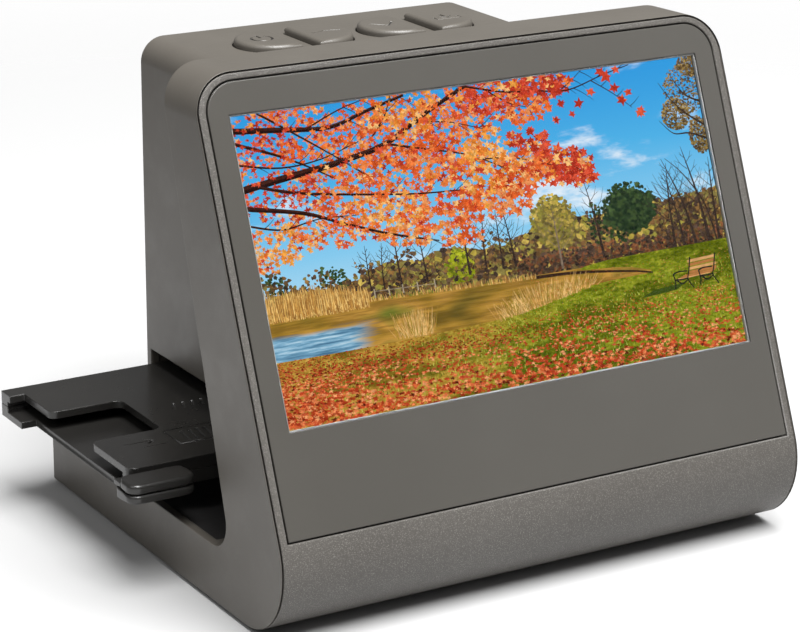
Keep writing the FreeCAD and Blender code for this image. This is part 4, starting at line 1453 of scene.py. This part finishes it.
    def fallen_leaves(self) -> None:
        """Leaves on the ground: thick to the left, thinning out over the grass."""
        canvas = Canvas(Layer.FALLEN_LEAVES)
        draw = canvas.draw
        dark = [paint(140, 44, 22), paint(176, 58, 34), paint(96, 32, 18), paint(190, 84, 50)]
        light = [paint(206, 96, 52), paint(224, 128, 78), paint(188, 70, 36), paint(230, 156, 104),
                 paint(166, 58, 30)]
        for _ in range(12000):
            x, y = draw.uniform(0, self.width), 13.2 * draw.random() ** 0.9
            band = math.exp(-((y - 9.8 - 0.01 * x) / 2.0) ** 2) * (1.05 - x / 118)
            corner = max(0.0, 1.15 - x / 26) * (1.0 if y < 9 else 0.8)
            near = math.exp(-((y - 1.6) / 1.8) ** 2) * 0.45
            drift = 0.26 + 0.24 * math.sin(x * 0.33 + y * 1.7) * math.sin(x * 0.11 - y)
            if draw.random() > max(band, corner, near, drift):
                continue
            depth = 1 - y / 13.4
            size = (0.34 + 0.62 * depth) * draw.uniform(0.7, 1.25)
            shaded = 9.4 < y and x < 60 or draw.random() < 0.3
            canvas.leaf((x, y), size, draw.uniform(0, math.tau), draw.choice(dark if shaded else light),
                        0.45 + 0.15 * depth, draw.uniform(0, mm(0.18)))
        for _ in range(420):
            x, y = draw.uniform(60, self.width), draw.uniform(12, 20.6)
            canvas.leaf((x, y), 0.22, draw.uniform(0, math.tau), draw.choice(light), 0.5,
                        draw.uniform(0, mm(0.18)))
        canvas.piece("picture_fallen_leaves", LEAVES)

    def bench(self) -> None:
        """A slatted bench with dark iron ends, and its shadow."""
        canvas = Canvas(Layer.BENCH)
        iron, wood, pale = paint(34, 32, 34), paint(178, 118, 66), paint(212, 160, 104)
        canvas.shape([(86, 12.9), (95.5, 13.4), (98, 14.6), (90, 14.2)], paint(58, 76, 24))
        for row in range(4):
            low = 16.5 + row * 0.78
            canvas.stroke([(99.6, low), (106.4, low + 0.25)], 0.58, 0.58, pale if row % 2 else wood,
                          mm(0.02) + row * ROW_LIFT)
        for row in range(3):
            canvas.stroke([(96.4 + row * 0.7, 15.5 + row * 0.22), (104.6 + row * 0.7, 15.8 + row * 0.22)],
                          0.30, 0.30, wood if row else pale, mm(0.03) + row * ROW_LIFT)
        for shift in (0.0, 7.0):
            for line in ([(100.2, 19.6), (99.4, 17), (98.8, 15.2), (99.9, 13.2)],
                         [(95.3, 16.6), (96.6, 17.0), (98.9, 16.9)],
                         [(95.3, 16.6), (95.5, 15.0), (95.2, 13.6)],
                         [(95.4, 15.4), (97.2, 15.3), (98.8, 15.4)],
                         [(96.0, 15.2), (97.2, 14.4), (98.6, 15.0)]):
                canvas.stroke(curve_points([(x + shift * 0.93, y) for x, y in line], 4), 0.34, 0.26, iron,
                              mm(0.05))
        canvas.piece("picture_bench", BENCH)

    def limbs(self) -> None:
        """The maple's dark limbs, and the twigs that leave them."""
        canvas = Canvas(Layer.LIMBS)
        bark, dark = paint(66, 34, 26), paint(40, 22, 20)
        lines = [([(0, 58.9), (10, 58.0), (21, 57.2), (30, 59.4), (39, 61.5)], 1.25, 0.45),
                 ([(0, 47.3), (10, 48.6), (22, 50.1), (33, 52.4), (43, 57.2), (54, 61.9)], 1.5, 0.75),
                 ([(0, 43.6), (12, 41.2), (20, 38.2), (30, 34.6), (41, 31.6)], 1.0, 0.2),
                 ([(3, 47.6), (12, 45.2), (25, 43.2), (38, 41.6), (48, 41.0)], 0.7, 0.15),
                 ([(0, 56.4), (8, 53.4), (14, 50.6), (20, 47.2)], 0.7, 0.2),
                 ([(6, 61.8), (14, 56.4), (22, 50.8), (27, 47.0)], 0.5, 0.15),
                 ([(0, 52.2), (9, 50.6), (18, 51.2), (27, 53.6)], 0.45, 0.15),
                 ([(0, 40.2), (7, 38.6), (15, 39.6), (24, 39.2)], 0.45, 0.12),
                 ([(33, 52.4), (42, 50.2), (52, 47.6), (61, 43.2)], 0.5, 0.12),
                 ([(53, 61.8), (62, 59.6), (70, 58.8), (78, 58.1), (87, 60.2), (94, 61.6)], 0.45, 0.16),
                 ([(76, 58.2), (79, 59.8), (82, 61.8)], 0.25, 0.1),
                 ([(84, 59.4), (89, 56), (93, 52.6)], 0.25, 0.1),
                 ([(58, 60.6), (63, 57.2), (68, 55.6)], 0.3, 0.1),
                 ([(40, 55.8), (48, 55.0), (56, 52.6)], 0.35, 0.1),
                 ([(54, 46.6), (62, 45.8), (71, 43.2), (78, 42.6)], 0.3, 0.1),
                 ([(30, 53.8), (34, 58), (36, 61.8)], 0.4, 0.2),
                 ([(16, 57.5), (24, 60.4), (30, 61.8)], 0.35, 0.15)]
        for number, (line, start, end) in enumerate(lines):
            smooth = curve_points(line, 6)
            canvas.stroke(smooth, start, end, dark, number * mm(0.002))
            lit = [(x, y + start * 0.18) for x, y in smooth]
            canvas.stroke(lit, start * 0.4, end * 0.4, bark, mm(0.035) + number * mm(0.0005))
            for spot in smooth[3::4]:
                side = canvas.draw.choice((-1, 1))
                reach = canvas.draw.uniform(1.5, 4.0)
                canvas.stroke(curve_points([spot, (spot[0] + reach * 0.6, spot[1] + side * reach * 0.35),
                                            (spot[0] + reach * 1.3, spot[1] + side * reach * 0.9)], 3),
                              0.18, 0.06, dark, number * mm(0.002))
        canvas.piece("picture_limbs", LIMBS)

    def maple_leaves(self, name: str, layer: Layer, share: float) -> None:
        """The maple's leaves, in drooping clumps that thin out towards their tips.

        Args:
            name: the piece's name.
            layer: the layer that they lie in.
            share: the share of the tree's leaves that lie there.
        """
        canvas = Canvas(layer)
        draw = canvas.draw
        orange = [paint(222, 96, 40), paint(234, 124, 60), paint(200, 78, 32), paint(226, 142, 84)]
        red = [paint(196, 62, 40), paint(168, 46, 30), paint(216, 84, 56)]
        yellow = [paint(232, 156, 66), paint(220, 126, 44), paint(238, 184, 116)]
        clumps = [((6, 56), 8, 5, 150, red), ((16, 53), 9, 5, 190, orange), ((28, 56), 9, 5, 210, orange),
                  ((40, 58), 8, 4, 170, yellow), ((36, 53), 8, 5, 190, orange),
                  ((50, 56), 8, 5, 170, orange), ((60, 59), 8, 3, 160, red),
                  ((71, 59.5), 7, 2.4, 130, red), ((66, 55.6), 6, 2.6, 90, orange),
                  ((9, 45), 9, 4.4, 170, red), ((22, 45), 9, 4.6, 210, orange),
                  ((34, 46), 9, 5, 210, orange), ((46, 48), 8, 5, 200, orange),
                  ((55, 44), 8, 4.4, 170, yellow), ((64, 43), 7, 3.6, 160, orange),
                  ((73, 42.6), 7, 3.4, 170, red), ((76, 40.6), 4.6, 2.2, 70, red),
                  ((6, 36), 8, 3.4, 150, yellow), ((18, 38), 9, 4, 190, orange),
                  ((30, 38.6), 9, 4, 200, yellow), ((42, 37.6), 8, 3.6, 150, orange),
                  ((52, 37.6), 7, 3.4, 120, orange), ((60, 38.6), 5, 3.6, 90, orange),
                  ((34, 33.6), 6, 2.2, 80, orange), ((46, 31.8), 5, 1.6, 50, orange),
                  ((3, 32.6), 4.4, 2, 60, yellow), ((56, 49.6), 5, 3.4, 70, yellow),
                  ((12, 60), 9, 2.4, 110, orange), ((66, 48.6), 5, 3.0, 60, red),
                  ((1, 50), 3, 5, 60, orange)]
        for middle, wide, tall, count, colours in clumps:
            for _ in range(int(count * share)):
                angle, reach = draw.uniform(0, math.tau), draw.random() ** 0.6 * 1.15
                spot = (middle[0] + wide * reach * math.cos(angle),
                        middle[1] + tall * reach * math.sin(angle))
                family = colours if draw.random() < 0.66 else draw.choice((orange, red, yellow))
                near = 0.75 + spot[0] / 150
                canvas.leaf(spot, draw.uniform(0.7, 1.35) * near, draw.uniform(0, math.tau),
                            draw.choice(family), draw.uniform(0.6, 1.0), draw.uniform(0, mm(0.2)))
        for spot, size in (((80, 55.0), 1.5), ((83.4, 57.0), 1.3), ((88, 59.8), 2.0), ((89.4, 57.2), 1.5),
                           ((90.6, 61), 1.4), ((90.8, 54.4), 1.7), ((94.6, 51.6), 1.8), ((92.6, 56), 1.2),
                           ((73.6, 52.2), 1.3), ((86.6, 61), 1.5), ((78, 53.0), 1.1), ((75.6, 55.4), 1.4)):
            canvas.leaf(spot, size, draw.uniform(0, math.tau), draw.choice(red + orange[:1]), 0.9,
                        draw.uniform(mm(0.1), mm(0.2)))
        canvas.piece(name, LEAVES)


@dataclass
class ButtonCaps:
    """The four push buttons, with a sunken icon in each cap.

    The icons' outlines and line are in millimetres, from the middle of the cap.
    """

    icon_depth: float = mm(0.3)
    line: float = 0.55
    # The thickness of each icon's dark floor of painted shade.
    shade_floor_thick: float = mm(0.06)
    cap_round: float = mm(0.35)
    shortest: float = mm(2)

    def build(self) -> None:
        """Cut each icon, and lay a dark floor in it as painted shade of the recess."""
        icons = {"power_button": self.power(), "up_button": self.bar(), "down_button": self.chevron(),
                 "save_button": self.tray()}
        for name, outlines in icons.items():
            low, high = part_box(name)
            spot = Matrix.Translation(((low.x + high.x) / 2, (low.y + high.y) / 2, high.z))
            metres = [[(mm(x), mm(y)) for x, y in outline] for outline in outlines]
            cutters = [extruded(outline, -self.icon_depth, mm(1), spot) for outline in metres]
            cap = carved(node_form(name), cutters)
            soften(cap, self.cap_round, 3,
                   lambda edge: edge.calc_length() > self.shortest and self.upright(edge))
            finish_piece(cap, name + "_cap", SHELL, name, [name])
            # Dark floors in the icons: painted shade where the recesses fall in shadow.
            floors = [extruded(outline, -self.icon_depth, self.shade_floor_thick - self.icon_depth, spot)
                      for outline in metres]
            finish_piece(joined(floors), name + "_recess_shade", ICON_SHADE, name)

    @staticmethod
    def upright(edge: bmesh.types.BMEdge) -> bool:
        """True for an edge that runs straight up."""
        way = edge.verts[1].co - edge.verts[0].co
        return abs(way.z) > 0.9 * way.length

    def power(self) -> list[list[Point]]:
        """An open ring with a stroke through its gap."""
        return [ribbon(arc_points((0, 0), 2.3, 125, 415, 24), self.line),
                ribbon([(0, 0.5), (0, 3.0)], self.line)]

    def bar(self) -> list[list[Point]]:
        """A wide shallow bar, bent a little at its middle."""
        return [ribbon([(-3.6, -0.5), (0, 0.5), (3.6, -0.5)], self.line)]

    def chevron(self) -> list[list[Point]]:
        """A chevron that points to the front."""
        return [ribbon([(-2.9, 1.7), (0, -1.7), (2.9, 1.7)], self.line + 0.1)]

    def tray(self) -> list[list[Point]]:
        """An arrow pointing down into an open tray."""
        return [ribbon([(-3.0, 0.2), (-3.0, -1.9), (3.0, -1.9), (3.0, 0.2)], self.line),
                ribbon([(0, 2.6), (0, 0.2)], self.line),
                ribbon([(-1.5, 0.6), (0, -0.7), (1.5, 0.6)], self.line)]


@dataclass
class FilmTray:
    """The tray's lid and floor, with softened edges, a rounded grip and marks sunk in the lid."""

    mark_depth: float = mm(0.28)
    mouth_round: float = mm(1.8)
    grip_round: float = mm(0.75)
    floor_grip_round: float = mm(0.6)
    edge_round: float = mm(0.3)
    shortest: float = mm(0.9)
    notch_low: float = mm(12.7)
    notch_high: float = mm(32.9)
    lid_half: float = mm(72)
    near: float = mm(0.1)

    def build(self) -> None:
        """Make the lid and the floor."""
        self.lid()
        self.floor()

    def lid(self) -> None:
        """The lid, its notch mouths rounded before the marks are cut."""
        top = Matrix.Translation((0, 0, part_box("tray_lid")[1].z))
        form = node_form("tray_lid")
        soften(form, self.mouth_round, 5, self.at_mouth, False)
        marks = [extruded([(mm(x), mm(y)) for x, y in outline], -self.mark_depth, mm(1), top)
                 for outline in self.marks()]
        form = carved(form, marks)
        soften(form, self.grip_round, 4, self.on_grip, False)
        soften(form, self.edge_round, 2, lambda edge: edge.calc_length() > self.shortest)
        finish_piece(form, "tray_lid_moulding", TRAY, "tray_lid", ["tray_lid"])

    def floor(self) -> None:
        """The floor plate."""
        form = node_form("tray_floor_plate")
        soften(form, self.floor_grip_round, 3, self.on_grip, False)
        soften(form, self.edge_round, 2, lambda edge: edge.calc_length() > self.shortest)
        finish_piece(form, "tray_floor_moulding", TRAY, "film_tray", ["tray_floor_plate"])

    def at_mouth(self, edge: bmesh.types.BMEdge) -> bool:
        """True for the upright edges where a finger notch opens to the lid's side.

        Args:
            edge: the edge.

        Returns:
            Whether it is one of them.
        """
        middle = (edge.verts[0].co + edge.verts[1].co) / 2
        beside = abs(abs(middle.x) - self.lid_half) < self.near
        level = min(abs(middle.y - self.notch_low), abs(middle.y - self.notch_high)) < self.near
        return beside and level and abs(edge.verts[0].co.z - edge.verts[1].co.z) > mm(1)

    @staticmethod
    def on_grip(edge: bmesh.types.BMEdge) -> bool:
        """True for the edges of the grip in front of the plates."""
        return max(vert.co.y for vert in edge.verts) < mm(-7.9) and all(
            vert.co.x < mm(-60) for vert in edge.verts)

    def marks(self) -> list[list[Point]]:
        """The marks on the lid's left end: an arrow, a ribbed label block and four slanted strokes.

        Returns:
            Their outlines, in millimetres.
        """
        frame_lines = [ribbon([(-56.2, 10.6), (-56.2, 2.4), (-43.4, 2.4)], 0.5),
                       ribbon([(-56.0, 10.9), (-30.0, 10.9)], 0.5)]
        ribs = [ribbon([(x, 4.0), (x + 0.6, 9.2)], 0.7) for x in (-53.6, -51.8, -50.0, -48.2, -46.4)]
        arrow = [ribbon([(-67.0, 7.2), (-60.5, 7.2)], 0.45), ribbon([(-63.8, 4.4), (-58.2, 4.4)], 0.45),
                 ribbon([(-62.0, 8.6), (-60.2, 7.2), (-62.0, 5.8)], 0.45)]
        strokes = [ribbon([(x, 22.0), (x + 1.4, 25.4)], 0.5) for x in (-48.0, -45.8, -43.6, -41.4)]
        return frame_lines + ribs + arrow + strokes


@dataclass
class Mouldings:
    """The casing's outer shells, their sharp edges broken by a small radius."""

    edge_round: float = mm(0.25)
    shortest: float = mm(0.45)
    shells: tuple[tuple[str, Finish], ...] = (("main_housing", SHELL), ("tower_housing", SHELL),
                                              ("front_bezel", BEZEL), ("base_cover", SHELL))

    def build(self) -> None:
        """Round the long sharp edges of each shell."""
        for node, finish in self.shells:
            form = node_form(node)
            soften(form, self.edge_round, 2, lambda edge: edge.calc_length() > self.shortest, False)
            finish_piece(form, node + "_moulding", finish, "casing", [node])


class CadFinishes:
    """Finishes for the CAD parts that stay as they are."""

    def build(self) -> None:
        """Dress every CAD node."""
        for name, finish in NODE_FINISHES.items():
            PAINTS.dress(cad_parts[name], finish)


def main() -> None:
    """Build the stage and every sub-assembly, in order."""
    logging.basicConfig(level=logging.INFO, format="%(name)s: %(message)s", stream=sys.stdout)
    for part in (Studio(), CadFinishes(), ScreenWindow(), LakePicture(), ButtonCaps(), FilmTray(),
                 Mouldings()):
        part.build()
        log.info("%s built", type(part).__name__)


if __name__ == "__main__":
    main()
